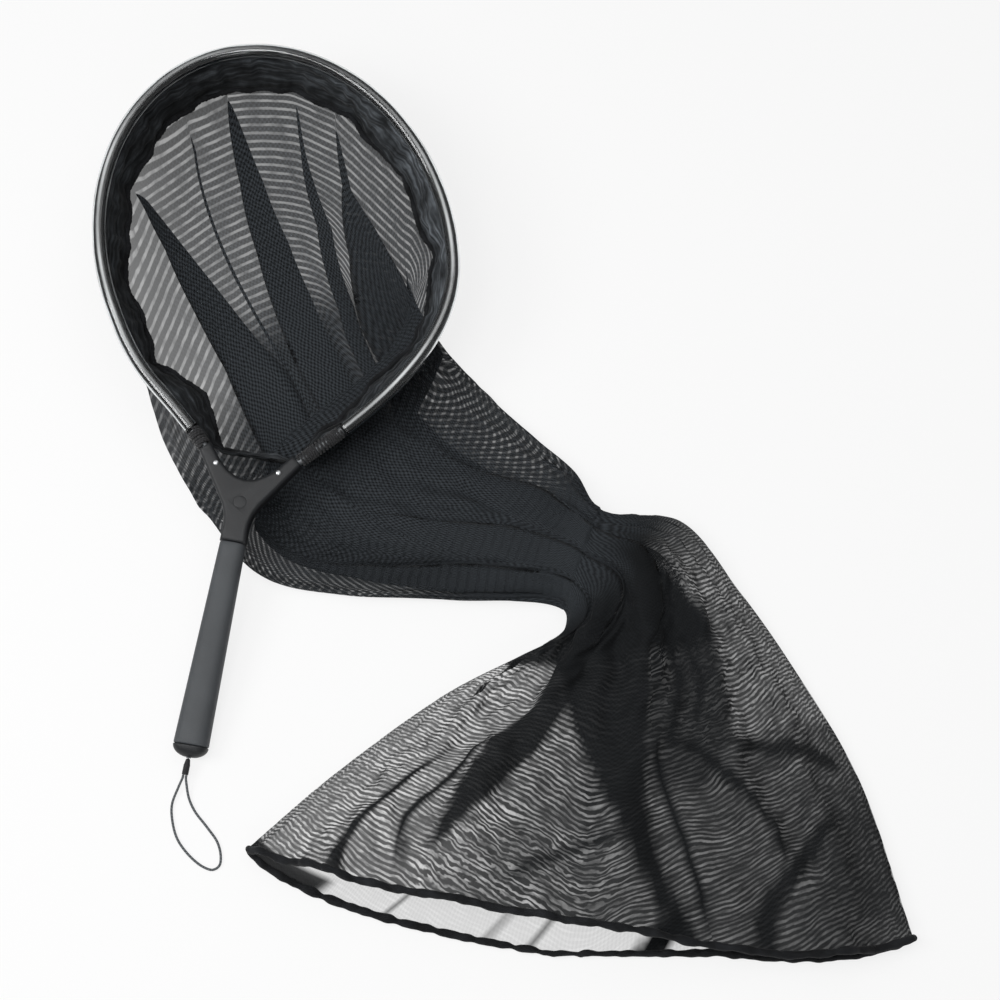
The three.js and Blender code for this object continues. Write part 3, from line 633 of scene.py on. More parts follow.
@dataclass(frozen=True)
class WovenCloth(Finish):
    """Black polyester plain weave: dull, with a soft sheen on its folds and threads that just show."""

    thread: float = 0.0012  # real threads are near 0.4 mm apart; drawn coarser so that they show
    shade_depth: float = 0.0  # depth over which a hanging band is painted darker downward: painted shade, lighter near the rim where the light falls
    patches: float = 45.0  # worn patches to a metre
    highlight_streaks: Span = (24.0, 260.0)  # lighter lines of painted highlight on a hanging band, to a metre, along and down

    def shade(self, nodes: Nodes) -> bpy.types.Node:
        """Adds a dull shader with warp, weft and worn patches, and on a hanging band painted shade, painted
        highlight lines and painted light on one side.

        Args:
            nodes: Nodes of the material.

        Returns:
            The shader.
        """
        where = nodes.cloth()
        thread = {"Vector": where, "Scale": TURN / self.thread / WAVE_RATE, "Distortion": 1.2, "Detail": 1.0}
        threads = [nodes.add("TexWave", thread, bands_direction=way) for way in "XY"]
        weave = nodes.product(*(wave.outputs["Fac"] for wave in threads))
        tone = nodes.remap(nodes.noise(where, self.patches, detail=3.0), span=(0.3, 0.7), to=(0.4, 2.4))
        # On a hanging band: painted shade that darkens it downward from the rim, lighter lines of painted
        # highlight along it, and painted light on the side of the seam that faces the light
        if self.shade_depth:
            low = nodes.remap(nodes.parts(where)[1], span=(0.0, self.shade_depth), to=(1.35, 0.35))
            highlight_streaks = nodes.noise(where, self.highlight_streaks, detail=3.0)
            rubbed = nodes.remap(highlight_streaks, span=(0.45, 0.7), to=(0.7, 3.0))
            tone = nodes.product(tone, low, rubbed, nodes.mark("painted_light"))
        return nodes.add("BsdfPrincipled", {
            "Base Color": nodes.tinted(self.colour, tone),
            "Roughness": 0.82,
            "Sheen Weight": 0.06,
            "Sheen Roughness": 0.4,
            "Specular IOR Level": 0.2,
            "Normal": nodes.bump(weave, strength=0.5, depth=0.0004),
        })


@dataclass(frozen=True)
class TwistedCord(Finish):
    """Laid polyester cord: dull, with strands that wind round it."""

    lay: float = 0.0035  # length of one strand's turn
    slant: float = 800.0  # how much of a turn, in radians, lies in a metre round the cord

    def shade(self, nodes: Nodes) -> bpy.types.Node:
        """Adds a dull shader with slanting strands.

        Args:
            nodes: Nodes of the material.

        Returns:
            The shader.
        """
        around, along = nodes.parts(nodes.cloth())
        turn = nodes.math("MULTIPLY_ADD", along, TURN / self.lay, nodes.product(around, self.slant))
        strand = nodes.math("SINE", turn)
        # Painted shade: the colour follows the strands, darker in the grooves between them and lighter on
        # their crowns, in step with the bump
        return nodes.add("BsdfPrincipled", {
            "Base Color": nodes.tinted(self.colour, nodes.remap(strand, span=(-1.0, 1.0), to=(0.55, 1.3))),
            "Roughness": 0.7,
            "Sheen Weight": 0.15,
            "Normal": nodes.bump(strand, strength=0.6, depth=0.0003),
        })


@dataclass(frozen=True)
class KnittedNet(Finish):
    """Fine black polyester knit: dense courses with an open course every few, see-through between threads."""

    course: float = 0.0096  # from one open course to the next
    wale: float = 0.0024  # from one column of loops to the next
    loops: Span = (0.0055, 0.007)  # loops painted with glints, a painted highlight; real ones are near 2 mm, drawn coarser
    uneven: float = 6.0  # how far the loops stray, in radians
    wandering: Span = (30.0, 13.0)  # slow bends of the courses to a metre, round and along
    crumples: Span = (80.0, 60.0)
    patches: Span = (55.0, 30.0)  # where the open courses close
    dashes: Span = (75.0, 95.0)  # short breaks of the slack ones

    def shade(self, nodes: Nodes) -> bpy.types.Node:
        """Adds a thin shader whose cover follows the courses and the stretch of the cloth.

        Args:
            nodes: Nodes of the material.

        Returns:
            The shader.
        """
        where = nodes.cloth()
        around, along = nodes.parts(where)
        cover, slack, opened = nodes.mark("cover"), nodes.mark("slack"), nodes.mark("opened")
        crumple = nodes.noise(where, self.crumples, detail=2.0)
        patches = nodes.noise(where, self.patches, detail=3.0)
        # How far each course is shifted, and how near the middle of an open course a point lies
        bends = nodes.noise(where, self.wandering, detail=2.5)
        shift = nodes.product(bends, nodes.remap(slack, to=(0.1, 2.0)))
        rough = nodes.remap(slack, span=(0.7, 1.9), to=(0.2, 2.6))
        shift = nodes.math("MULTIPLY_ADD", crumple, rough, shift)
        folded = nodes.math("PINGPONG", nodes.math("MULTIPLY_ADD", along, 1 / self.course, shift), 0.5)
        edge = nodes.remap(slack, to=(0.23, 0.31))
        gap = nodes.remap(folded, span=(edge, nodes.product(edge, 0.45)), smooth=True)
        # Slack courses break up into dashes
        keep = nodes.remap(patches, span=(0.3, 0.6), to=(0.25, 1.05))
        dashes = nodes.noise(where, self.dashes, detail=2.0)
        dashes = nodes.remap(dashes, span=(0.38, 0.56), to=(nodes.remap(slack, to=(1.0, 0.3)), 1.0))
        opened = nodes.product(gap, opened, keep, dashes)
        # Fine columns of loops between the open courses
        wales = nodes.math("SINE", nodes.product(around, TURN / self.wale))
        thin = nodes.product(nodes.math("SUBTRACT", 1.0, cover), 0.03)
        fine = nodes.math("MULTIPLY_ADD", wales, thin, cover)
        # Painted highlight: glints painted on the loops, strongest where the net is stretched
        across, ahead = nodes.parts(nodes.stretched(where, tuple(TURN / size for size in self.loops)))
        across = nodes.math("SINE", nodes.math("MULTIPLY_ADD", crumple, self.uneven, across))
        ahead = nodes.math("SINE", nodes.math("MULTIPLY_ADD", patches, self.uneven, ahead))
        loops = nodes.math("MULTIPLY_ADD", across, ahead, 0.9)
        tone = nodes.math("MULTIPLY_ADD", loops, nodes.remap(slack, to=(3.6, 0.45)), 0.6)
        return nodes.add("BsdfPrincipled", {
            "Base Color": nodes.tinted(self.colour, tone),
            "Roughness": 0.8,
            "Sheen Weight": 0.03,
            "Sheen Roughness": 0.5,
            "Specular IOR Level": 0.15,
            "Alpha": nodes.math("SUBTRACT", fine, opened, clamp=True),
            "Normal": nodes.bump(gap, strength=0.4, depth=0.0006, invert=True),
        })


MOULDING = MouldedPlastic("Moulded polypropylene", "#141619", Slot.MOULDING)
GRIP_PLASTIC = MouldedPlastic("Moulded polypropylene grip", "#404346", Slot.GRIP, roughness=0.58)
ALUMINIUM = DrawnAluminium("Drawn aluminium", "#d2d5d7", Slot.ALUMINIUM)
DULL_ALUMINIUM = DrawnAluminium("Oxidised drawn aluminium", "#84878a", Slot.ALUMINIUM, roughness=(0.45, 0.65))
VINYL = ClearVinyl("Clear soft PVC", "#eef1f2", Slot.SHEATH)
CLOTH = WovenCloth("Woven polyester", "#131416", Slot.CLOTH)
# The band's finish carries painted shade, painted highlight lines and painted light on one side.
BAND = WovenCloth("Woven polyester band", "#1f2123", Slot.CLOTH, shade_depth=0.062)
CORD = TwistedCord("Laid polyester cord", "#565a5d", Slot.CORD)
LASHING_CORD = TwistedCord("Laid polyester lashing", "#17171a", Slot.LASHING, lay=0.003)
NET = KnittedNet("Knitted polyester net", "#121416", Slot.NET)


def dress(piece: bpy.types.Object, finish: Finish, body: Body, *nodes: str) -> bpy.types.Object:
    """Gives a piece its finish and its body, and hides the solids that it stands for.

    Args:
        piece: The piece, already in place.
        finish: What it is made of.
        body: What it moves with.
        nodes: Names of the solids that it replaces.

    Returns:
        The piece.
    """
    piece.data.materials.clear()
    piece.data.materials.append(finish.material())
    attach(piece, body.value)
    if nodes:
        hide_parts(*nodes)
    LOG.info("%s: %d faces", piece.name, len(piece.data.polygons))
    return piece


def net_piece(name: str, placement: Matrix, grid: Grid, finish: Finish, *nodes: str,
              **form: object) -> bpy.types.Object:
    """Makes a dressed piece of the handle or the hoop.

    Args:
        name: Name of the piece.
        placement: The handle's placement.
        grid: Its rows in the handle's frame, and their coordinates.
        finish: What it is made of.
        nodes: The solids that it stands for.
        form: How the grid closes, and its marks.

    Returns:
        The piece.
    """
    piece = grid_piece(name, (moved(placement, grid[0]), grid[1]), **form)
    return dress(piece, finish, Body.NET, *nodes)


# How it all lies


@dataclass(frozen=True)
class Lie:
    """Where the handle lies in the layout that the sizes here are given in."""

    butt: tuple[float, float, float] = (-0.310, -0.281, 0.011)
    heading: float = 10.0
    tilt: float = 9.0

    def place(self, pivot: Sequence[float]) -> tuple[Matrix, Array]:
        """Fits the layout to the model's frame.

        Args:
            pivot: The wrist loop's pivot in the model's frame.

        Returns:
            The handle's placement, and the shift from the layout to the model's frame.
        """
        level = Matrix.Rotation(-math.radians(self.heading), 4, "Z")
        turn = level @ Matrix.Rotation(math.radians(self.tilt), 4, "X")
        tip = Vector(pivot) - turn @ Vector((0, -PIVOT_OUT, 0))
        return Matrix.Translation(tip) @ turn, np.array(tip - Vector(self.butt))


@dataclass(frozen=True)
class Lamp:
    """A square softbox: its place, the point that it faces, its side in metres and its power in watts."""

    name: str
    place: tuple[float, float, float]
    aim: tuple[float, float, float]
    size: float
    power: float

    def build(self) -> None:
        """Adds the lamp."""
        data = bpy.data.lights.new(self.name, "AREA")
        data.size = self.size
        data.energy = self.power
        lamp = bpy.data.objects.new(self.name, data)
        lamp.location = self.place
        lamp.rotation_euler = (Vector(self.aim) - Vector(self.place)).to_track_quat("-Z", "Y").to_euler()
        bpy.context.scene.collection.objects.link(lamp)


@dataclass(frozen=True)
class Studio:
    """Camera, floor and light."""

    elevation: float = 68.0
    distance: float = 2.1
    lens: float = 71.8
    sensor: float = 36.0
    table_half: float = 6.0
    table_gap: float = 0.0004
    table_tone: float = 0.86
    table_white: float = 0.8  # how much of its shading the eye and reflections see as white
    surround: float = 0.3
    lamps: tuple[Lamp, ...] = (
        Lamp("Overhead softbox", (0.5, 0.7, 2.6), (0.0, 0.1, 0.0), 2.2, 14.0),
        Lamp("Softbox beside the camera", (-0.7, -0.6, 2.3), (-0.1, 0.1, 0.0), 0.9, 16.0),
        Lamp("Low softbox in front", (-0.2, -2.0, 1.35), (-0.2, 0.3, 0.0), 0.7, 4.0),
        Lamp("Softbox on the left", (-1.6, -0.2, 1.6), (-0.1, 0.15, 0.0), 1.0, 18.0),
    )

    def build(self, target: Array) -> None:
        """Sets up the view of the photograph, a pale floor and soft light.

        Args:
            target: The point in the middle of the picture.
        """
        scene = bpy.context.scene
        scene.view_settings.view_transform = "Standard"
        data = bpy.data.cameras.new("Camera")
        data.lens = self.lens
        data.sensor_width = self.sensor
        camera = bpy.data.objects.new("Camera", data)
        tilt = math.radians(self.elevation)
        back = Vector((0.0, -math.cos(tilt), math.sin(tilt))) * self.distance
        camera.location = Vector(target) + back
        camera.rotation_euler = (math.pi / 2 - tilt, 0.0, 0.0)
        scene.collection.objects.link(camera)
        scene.camera = camera
        self.table()
        for lamp in self.lamps:
            lamp.build()
        world = bpy.data.worlds.new("Studio")
        scene.world = world
        world.use_nodes = True
        world.node_tree.nodes["Background"].inputs["Color"].default_value = (1.0, 1.0, 1.0, 1.0)
        world.node_tree.nodes["Background"].inputs["Strength"].default_value = self.surround

    def table(self) -> None:
        """Adds the table: white to the eye and in reflections, with a soft shadow."""
        bm = bmesh.new()
        bmesh.ops.create_grid(bm, x_segments=1, y_segments=1, size=self.table_half)
        bmesh.ops.translate(bm, vec=(0.0, 0.0, -self.table_gap), verts=bm.verts)
        table = linked("Table", bm)
        nodes = Nodes("White laminate")
        matt = nodes.add("BsdfDiffuse", {"Color": (self.table_tone, self.table_tone, self.table_tone, 1.0)})
        white = nodes.add("Emission", {"Strength": 1.0})
        ray = nodes.add("LightPath").outputs
        seen = nodes.math("MAXIMUM", ray["Is Camera Ray"], ray["Is Glossy Ray"])
        share = nodes.product(nodes.math("MAXIMUM", seen, ray["Is Transmission Ray"]), self.table_white)
        shader = nodes.add("MixShader", {0: share, 1: matt.outputs[0], 2: white.outputs[0]})
        table.data.materials.append(nodes.finish(shader))


# Handle


@dataclass(frozen=True)
class Handle:
    """Yoke, grip, butt cap and rivets, along local +Y from the cap's tip."""

    placement: Matrix
    cap_length: float = 0.012
    grip_length: float = 0.209
    grip_rings: int = 24
    top_size: Span = (0.0264, 0.020)
    butt_size: Span = (0.0356, 0.025)
    squareness: float = 2.6
    sides: int = 72
    roll: float = 0.0016  # radius of the grip's rolled ends
    plain_from: float = 0.006  # where its plain stretch starts, from each end
    cord_hole: float = 0.0029
    outlet: tuple[Span, ...] = ((1.0, 0.011), (1.0, 0.0022), (1.12, 0.0014))  # width in holes, and place
    cap_back: tuple[Span, ...] = ((0.0016, 0.0001), (0.008, 0.0))  # narrower by, and how far before its end
    dome: tuple[float, float, int] = (20, 90, 14)  # degrees from its tip to its rim, and number of rings
    tip_width: float = 2.5  # least width of the dome, in radii of the hole
    yoke_half: float = 0.009
    yoke_sharp: float = 38.0
    rivet_radius: float = 0.0028
    rivet_height: float = 0.0014
    rivet_shank: float = 0.0016
    rivet_sharp: float = 40.0
    rivet_dome: tuple[float, float, int] = (15, 90, 7)
    rivet_steps: int = 28

    def oval(self, size: Sequence[float], y: float) -> Array:
        """Points of the squared oval section.

        Args:
            size: Width and thickness.
            y: Place along the handle.

        Returns:
            The ring, in the handle's frame.
        """
        angle = np.linspace(0, TURN, self.sides, endpoint=False)
        power = 2 / self.squareness
        x = np.sign(np.cos(angle)) * np.abs(np.cos(angle)) ** power * size[0] / 2
        z = np.sign(np.sin(angle)) * np.abs(np.sin(angle)) ** power * size[1] / 2
        return np.stack([x, np.full_like(x, y), z], axis=1)

    def size_at(self, y: float) -> Array:
        """Width and thickness of the grip at a place."""
        share = (y - self.cap_length) / self.grip_length
        return np.array(self.butt_size) * (1 - share) + np.array(self.top_size) * share

    def build(self) -> None:
        """Makes the four kinds of piece."""
        self.grip()
        self.cap()
        self.yoke()
        for node in ("rivet_left", "rivet_right"):
            self.rivet(node)

    def grip(self) -> None:
        """A tapered sleeve with rolled ends."""
        start, end = self.cap_length + SEAT, self.cap_length + self.grip_length
        rolled = [(0.0, self.roll), (0.3 * self.roll, 0.3 * self.roll), (self.roll, 0.0)]
        places = [(start + off, inset) for off, inset in rolled]
        plain = np.linspace(start + self.plain_from, end - self.plain_from, self.grip_rings)
        places += [(y, 0.0) for y in plain]
        places += [(end - off, inset) for off, inset in reversed(rolled)]
        rings = [self.oval(self.size_at(y) - 2 * inset, y) for y, inset in places]
        net_piece("grip", self.placement, section_rows(rings), GRIP_PLASTIC, "grip_sleeve", wraps=True,
                  capped=True)

    def cap(self) -> None:
        """A dome with a round outlet for the cord."""
        angle = np.linspace(0, TURN, self.sides, endpoint=False)
        circle = np.stack([np.cos(angle), np.zeros(self.sides), np.sin(angle)], axis=1) * self.cord_hole
        rings = [circle * wide + np.array([0, y, 0]) for wide, y in self.outlet]
        butt = np.array(self.butt_size)
        for turn in np.radians(np.linspace(*self.dome)):
            y = (self.cap_length - SEAT) * (1 - math.cos(turn))
            rings.append(self.oval(np.maximum(butt * math.sin(turn), self.tip_width * self.cord_hole), y))
        rings += [self.oval(butt - narrower, self.cap_length - before) for narrower, before in self.cap_back]
        net_piece("cap", self.placement, section_rows(rings), MOULDING, "butt_cap", wraps=True)

    def yoke(self) -> None:
        """The solid's own form, with its facets joined and its edges softened."""
        bm = bmesh.new()
        bm.from_mesh(bpy.data.objects["yoke"].data)
        bmesh.ops.remove_doubles(bm, verts=bm.verts, dist=10 * WELD)
        piece = linked("fork", bm, self.yoke_sharp)
        even = piece.modifiers.new("Even shading", "WEIGHTED_NORMAL")
        even.weight = 100
        even.keep_sharp = True
        dress(piece, MOULDING, Body.NET, "yoke")

    def rivet(self, node: str) -> None:
        """A domed rivet, turned about its own axis.

        Args:
            node: The solid that it stands for.
        """
        low, high = (np.array(corner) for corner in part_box(node))
        middle = Matrix.Translation(Vector((low + high) / 2)) @ self.placement.to_3x3().to_4x4()
        half = self.yoke_half + SEAT
        profile = [(0.0, half + self.rivet_height)]
        for turn in np.radians(np.linspace(*self.rivet_dome)):
            profile.append((self.rivet_radius * math.sin(turn), half + self.rivet_height * math.cos(turn)))
        profile += [(self.rivet_shank, half), (self.rivet_shank, 0.0)]
        profile += [(r, -z) for r, z in reversed(profile[:-1])]
        piece = spun(node + "_head", profile, (0, 0, 1), self.rivet_steps, middle, self.rivet_sharp)
        dress(piece, ALUMINIUM, Body.NET, node)


# Hoop and collar


@dataclass(frozen=True)
class Lashing:
    """Wound cord: its solid, its turns, their unevenness in turns, its radius and its points a turn."""

    node: str
    turns: int
    slack: float
    radius: float
    points: int


@dataclass(frozen=True)
class Hoop:
    """The bent tube with its hem, clear sheath, gathered collar, rolled seam and lashings."""

    placement: Matrix
    fork: float = 0.2665
    arm_angle: float = 45.0
    arm_length: float = 0.0693
    socket_depth: float = 0.038
    short_radius: float = 0.182
    long_radius: float = 0.228
    skew: float = 30.5
    reach: float = 0.278
    lean: float = 4.3
    arc_start: float = -21.0
    arc_end: float = 180.0
    leg_sweep: float = 0.095
    tube_radius: float = 0.0045
    tube_points: int = 360
    tube_sides: int = 24
    socket_points: int = 60
    leg_points: int = 300
    arc_points: int = 900
    hem_sides: int = 20
    sheath_sides: tuple[int, int] = (30, 22)  # outside and inside
    hem_radius: float = 0.0058
    hem_past: float = 0.002  # how far the hem comes out of the sheath
    hem_creases: Ripple = Ripple(5, (0.006, 0.02), (0.02, 0.08), height=0.045)  # as a share of its radius
    sheath_inner: float = 0.0063
    sheath_outer: float = 0.0074
    sheath_slit: float = 0.0034
    line_points: int = 420
    depth_near: float = 0.041
    depth_far: float = 0.062
    collar_lean: float = 17.0
    collar_points: int = 900
    collar_columns: int = 30
    collar_fullness: float = 1.1  # length of the band's cloth for each length of its seam
    crumples: tuple[Ripple, ...] = (
        Ripple(11, (0.05, 0.16), (0.012, 0.034), 14, height=0.0019),
        Ripple(12, (0.012, 0.05), (0.05, 0.2), 12, height=0.0013),
        Ripple(13, (0.07, 0.2), (0.06, 0.15), 7, height=0.0030),
    )
    crumple_rise: Span = (0.0, 0.2)  # shares of its depth over which the crumples start
    crumple_fall: Span = (0.8, 1.05)  # and end
    band_from: float = 0.9  # where the band starts, as a share of the sheath's inner radius
    bridge_points: int = 60
    bare_run: Span = (0.03, 0.02)  # over which the band leaves the sheath, at its right and its left end
    bare_drop: float = 0.006
    bare_in: float = 0.002
    gap_right: float = 0.058
    gap_left: float = 0.024
    gathers: tuple[float, ...] = (-60, -25, 5, 40, 73, 96, 120, 141, 168, 204, 238)
    drawn_in: float = 0.17
    drawn_aside: tuple[float, float, float] = (-0.006, 0.006, 0.0)  # how far the net draws the seam aside
    still_run: float = 0.06  # over which the seam beside the yoke starts to be drawn
    seam_lumps: Ripple = Ripple(51, (0.03, 0.08), count=8)
    bead_radius: float = 0.0035
    bead_points: int = 1100
    bead_sides: int = 12
    bead_wrap: float = 0.0046  # from one wrap of its thread to the next
    bead_mean: float = 0.92  # its mean radius, as a share of the full one
    bead_wrap_depth: float = 0.07
    bead_lumps: Ripple = Ripple(21, (0.008, 0.03), count=10, height=0.16)
    painted_light_turn: float = 25.0  # degrees round the seam where the band is painted lightest: painted light on the side that faces the light
    painted_light_spread: float = 48.0
    painted_light_most: float = 2.2
    lashing_gap: float = 0.002
    lashing_sides: int = 10
    lashing_wave: Span = (1.7, 0.6)  # rate and start of the wave that spaces its turns
    right: Lashing = Lashing("lashing_right", 17, 0.6, 0.00125, 36)
    left: Lashing = Lashing("lashing_left", 7, 0.3, 0.0016, 48)

    def line(self) -> Array:
        """Lays out the tube's axis, from the right socket round to the left one.

        Returns:
            Dense points, in the handle's frame.
        """
        lean, skew, arm_turn = (math.radians(a) for a in (self.lean, self.skew, self.arm_angle))
        turned = np.array([[math.cos(skew), math.sin(skew)], [-math.sin(skew), math.cos(skew)]])
        arm = np.array([math.sin(arm_turn), math.cos(arm_turn)])
        mirror = np.array([-1.0, 1.0])
        mouth = np.array([0.0, self.fork]) + arm * self.arm_length
        middle = np.array([-math.sin(lean), math.cos(lean)]) * self.reach + np.array([0.0, self.fork])
        start, end = math.radians(self.arc_start), math.radians(self.arc_end)
        t = np.linspace(0, 1, self.leg_points)[:, None]

        def on_arc(angle: Array | float) -> Array:
            """A point of the far oval."""
            place = np.stack([self.short_radius * np.cos(angle), self.long_radius * np.sin(angle)], axis=-1)
            return middle + place @ turned

        def handle_at(angle: float) -> Array:
            """The way that the far oval runs, as long as a leg's curve handle."""
            way = np.array([-self.short_radius * math.sin(angle), self.long_radius * math.cos(angle)])
            return unit(way @ turned) * self.leg_sweep

        first, last = on_arc(start), on_arc(end)
        sweep = mouth + arm * self.leg_sweep
        socket = mouth - arm * self.socket
        flat = np.vstack([
            np.linspace(socket, mouth, self.socket_points)[:-1],
            bezier(mouth, sweep, first - handle_at(start), first, t)[:-1],
            on_arc(np.linspace(start, end, self.arc_points))[:-1],
            bezier(last, last + handle_at(end), sweep * mirror, mouth * mirror, t)[:-1],
            np.linspace(mouth * mirror, socket * mirror, self.socket_points),
        ])
        return np.column_stack([flat, np.zeros(len(flat))])

    def stretch(self, start: float, end: float, count: int) -> Array:
        """Evenly spaced points of the tube's axis between two lengths along it."""
        return at_lengths(self.line(), np.linspace(start, end, count))

    @property
    def length(self) -> float:
        """Length of the tube."""
        return float(lengths_along(self.line())[-1])

    @property
    def socket(self) -> float:
        """Length of the tube inside each socket."""
        return self.socket_depth - SEAT

    def build(self) -> None:
        """Makes every piece on the hoop."""
        start, end = self.socket + self.gap_right, self.length - self.socket - self.gap_left
        tube = tube_rows(self.stretch(0.0, self.length, self.tube_points), self.tube_radius, self.tube_sides)
        net_piece("tube", self.placement, tube, DULL_ALUMINIUM, "hoop_tube", wraps=True, capped=True)
        self.hem(start, end)
        self.sheath(start, end)
        self.collar(start, end)
        self.bead()
        self.lashing(self.right, self.socket + self.lashing_gap, start - 2 * self.lashing_gap)
        self.lashing(self.left, end + self.lashing_gap, self.length - self.socket - self.lashing_gap)

    def hem(self, start: float, end: float) -> None:
        """The cloth sleeve under the sheath, a little creased.

        Args:
            start: Where the sheath begins on the tube.
            end: Where it ends.
        """
        line = self.stretch(start - self.hem_past, end + self.hem_past, self.line_points)
        rows, uv = tube_rows(line, self.hem_radius, self.hem_sides)
        creases = self.hem_creases(uv[..., 0], uv[..., 1])
        rows = line[:, None] + (rows - line[:, None]) * (1 + creases[..., None])
        rows[:, -1] = rows[:, 0]
        net_piece("hem_sleeve", self.placement, (rows, uv), CLOTH, wraps=True, capped=True)

    def frame_of(self, line: Array) -> tuple[Array, Array]:
        """Inward and upward directions along a line in the hoop's plane."""
        along = heading(line)
        return np.cross(UP, along), np.broadcast_to(UP, along.shape)

    def sheath(self, start: float, end: float) -> None:
        """The clear split tube pushed over the hem.

        Args:
            start: Where it begins on the tube.
            end: Where it ends.
        """
        line = self.stretch(start, end, self.line_points)
        inward, up = self.frame_of(line)

        def arc(radius: float, count: int) -> Array:
            """A ring that is open where the collar hangs out.

            Args:
                radius: Its radius.
                count: Number of points.

            Returns:
                The points, in its own plane.
            """
            half = math.asin(self.sheath_slit / 2 / radius)
            angle = math.radians(self.collar_lean) + np.linspace(half, TURN - half, count)
            return np.stack([np.cos(angle), np.sin(angle)], axis=1) * radius

        outside, inside = self.sheath_sides
        profile = np.vstack([arc(self.sheath_outer, outside), arc(self.sheath_inner, inside)[::-1]])
        rings = line[:, None] - up[:, None] * profile[None, :, :1] + inward[:, None] * profile[None, :, 1:]
        net_piece("sheath", self.placement, section_rows(list(rings)), VINYL, "hoop_sheath", wraps=True,
                  capped=True)

    def depth(self, line: Array) -> Array:
        """How deep the collar hangs: more, the further it is from the yoke.

        Args:
            line: Points of the tube's axis.

        Returns:
            Depths in metres.
        """
        mouth = self.fork + self.arm_length * math.cos(math.radians(self.arm_angle))
        share = (line[:, 1] - mouth) / (self.line()[:, 1].max() - mouth)
        return self.depth_near + (self.depth_far - self.depth_near) * share

    def hanging(self, line: Array, run: Array, off: Array | float = 0.0) -> Array:
        """Points that hang from the tube.

        Args:
            line: Points of the tube's axis.
            run: Distance of each along the collar's lean.
            off: Distance of each further in.

        Returns:
            The points, in the handle's frame.
        """
        inward, up = self.frame_of(line)
        lean = math.radians(self.collar_lean)
        in_by = run * math.sin(lean) + off
        return line + inward * np.reshape(in_by, (-1, 1)) - up * np.reshape(run * math.cos(lean), (-1, 1))

    def chord(self, polar: Array) -> tuple[Array, Array]:
        """How the net hangs straight from one gather to the next.

        Args:
            polar: Angles round the seam's middle, in the handle's frame, in radians.

        Returns:
            The angle of each from the middle of its straight stretch, and how far that draws the seam in.
        """
        knots = np.radians(np.array(self.gathers))
        knots = np.append(knots, knots[0] + TURN)
        turn = (polar - knots[0]) % TURN + knots[0]
        at = np.clip(np.searchsorted(knots, turn, side="right") - 1, 0, len(knots) - 2)
        half = (knots[at + 1] - knots[at]) / 2
        off = turn - knots[at] - half
        return off, self.drawn_in * (np.cos(off) - np.cos(half))

    def seam(self, extra: float, count: int, lumps: float = 0.0014) -> Array:
        """The closed line under the collar, nearly straight between the net's gathers.

        Args:
            extra: Distance past the collar's lower edge.
            count: Number of points, of which the last is the first again.
            lumps: How far it wavers.

        Returns:
            The line, in the handle's frame.
        """
        line = self.stretch(self.socket, self.length - self.socket, self.collar_points)
        deep = self.depth(line) + extra
        run = lengths_along(line)
        still = window((0.0, self.still_run), (run[-1] - self.still_run, run[-1]), run)
        drawn = self.chord(self.polar(self.hanging(line, deep)))[1] + lumps * self.seam_lumps(run)
        loop = self.hanging(line, deep, drawn * still) + np.array(self.drawn_aside) * still[:, None]
        return resampled(closed(loop), count)

    @staticmethod
    def polar(loop: Array) -> Array:
        """Angles of points round their middle."""
        spoke = loop - loop.mean(axis=0)
        return np.arctan2(spoke[:, 1], spoke[:, 0])

    def collar(self, start: float, end: float) -> None:
        """The gathered band between the tube and the rolled seam, closed in front of the yoke.

        Args:
            start: Where the hem begins on the tube.
            end: Where it ends.
        """
        span = (self.socket, self.length - self.socket, self.collar_points)
        place = np.linspace(*span)
        bare = np.maximum(1 - smoothstep(start - self.bare_run[0], start, place),
                          smoothstep(end, end + self.bare_run[1], place))
        first = self.hanging(self.stretch(*span), self.sheath_inner * self.band_from + self.bare_drop * bare,
                             self.bare_in * bare)
        bridge = np.linspace(0, 1, self.bridge_points)[1:-1, None]
        across = first[-1] * (1 - bridge) + first[0] * bridge - UP * self.bare_drop
        top = resampled(np.vstack([first, across, first[:1]]), self.collar_points)
        low = self.seam(self.bead_radius, self.collar_points)
        share = np.linspace(0, 1, self.collar_columns)
        rows = top[:, None] * (1 - share)[None, :, None] + low[:, None] * share[None, :, None]
        run = lengths_along(low)
        uv = np.stack(np.broadcast_arrays(run[:, None], share[None] * self.depth_far), axis=-1)
        out = unit(np.cross(np.gradient(rows, axis=0), np.gradient(rows, axis=1)))
        free = window(self.crumple_rise, self.crumple_fall, share)
        crumpled = sum(ripple(uv[..., 0], uv[..., 1]) for ripple in self.crumples)
        rows = rows + out * (free[None] * crumpled)[..., None]
        rows[-1] = rows[0]
        # Painted light: the band is painted lighter round one side of the seam, where it faces the light
        away = np.degrees(self.polar(low)) - self.painted_light_turn
        painted_light = 1 + self.painted_light_most * np.exp(-((away / self.painted_light_spread) ** 2))
        marks = {"painted_light": np.broadcast_to(painted_light[:, None], rows.shape[:2])}
        piece = net_piece("collar_band", self.placement, (rows, uv), BAND, "net_collar", loops=True,
                          marks=marks)

    def bead(self) -> None:
        """The rolled seam, lumpy where the net is gathered into it."""
        line = self.seam(self.bead_radius + SEAT, self.bead_points)
        lumps = self.bead_lumps(lengths_along(line))
        lumps[-1] = lumps[0]
        rows, uv = tube_rows(line, self.bead_radius * (self.bead_mean + lumps), self.bead_sides, loop=True)
        wraps = np.sin(TURN * (uv[..., 1] / self.bead_wrap + uv[..., 0] / (TURN * self.bead_radius)))
        rows = line[:, None] + (rows - line[:, None]) * (1 + self.bead_wrap_depth * wraps[..., None])
        rows[:, -1], rows[-1] = rows[:, 0], rows[0]
        net_piece("rolled_seam", self.placement, (rows, uv), CLOTH, "collar_bead", wraps=True, loops=True)

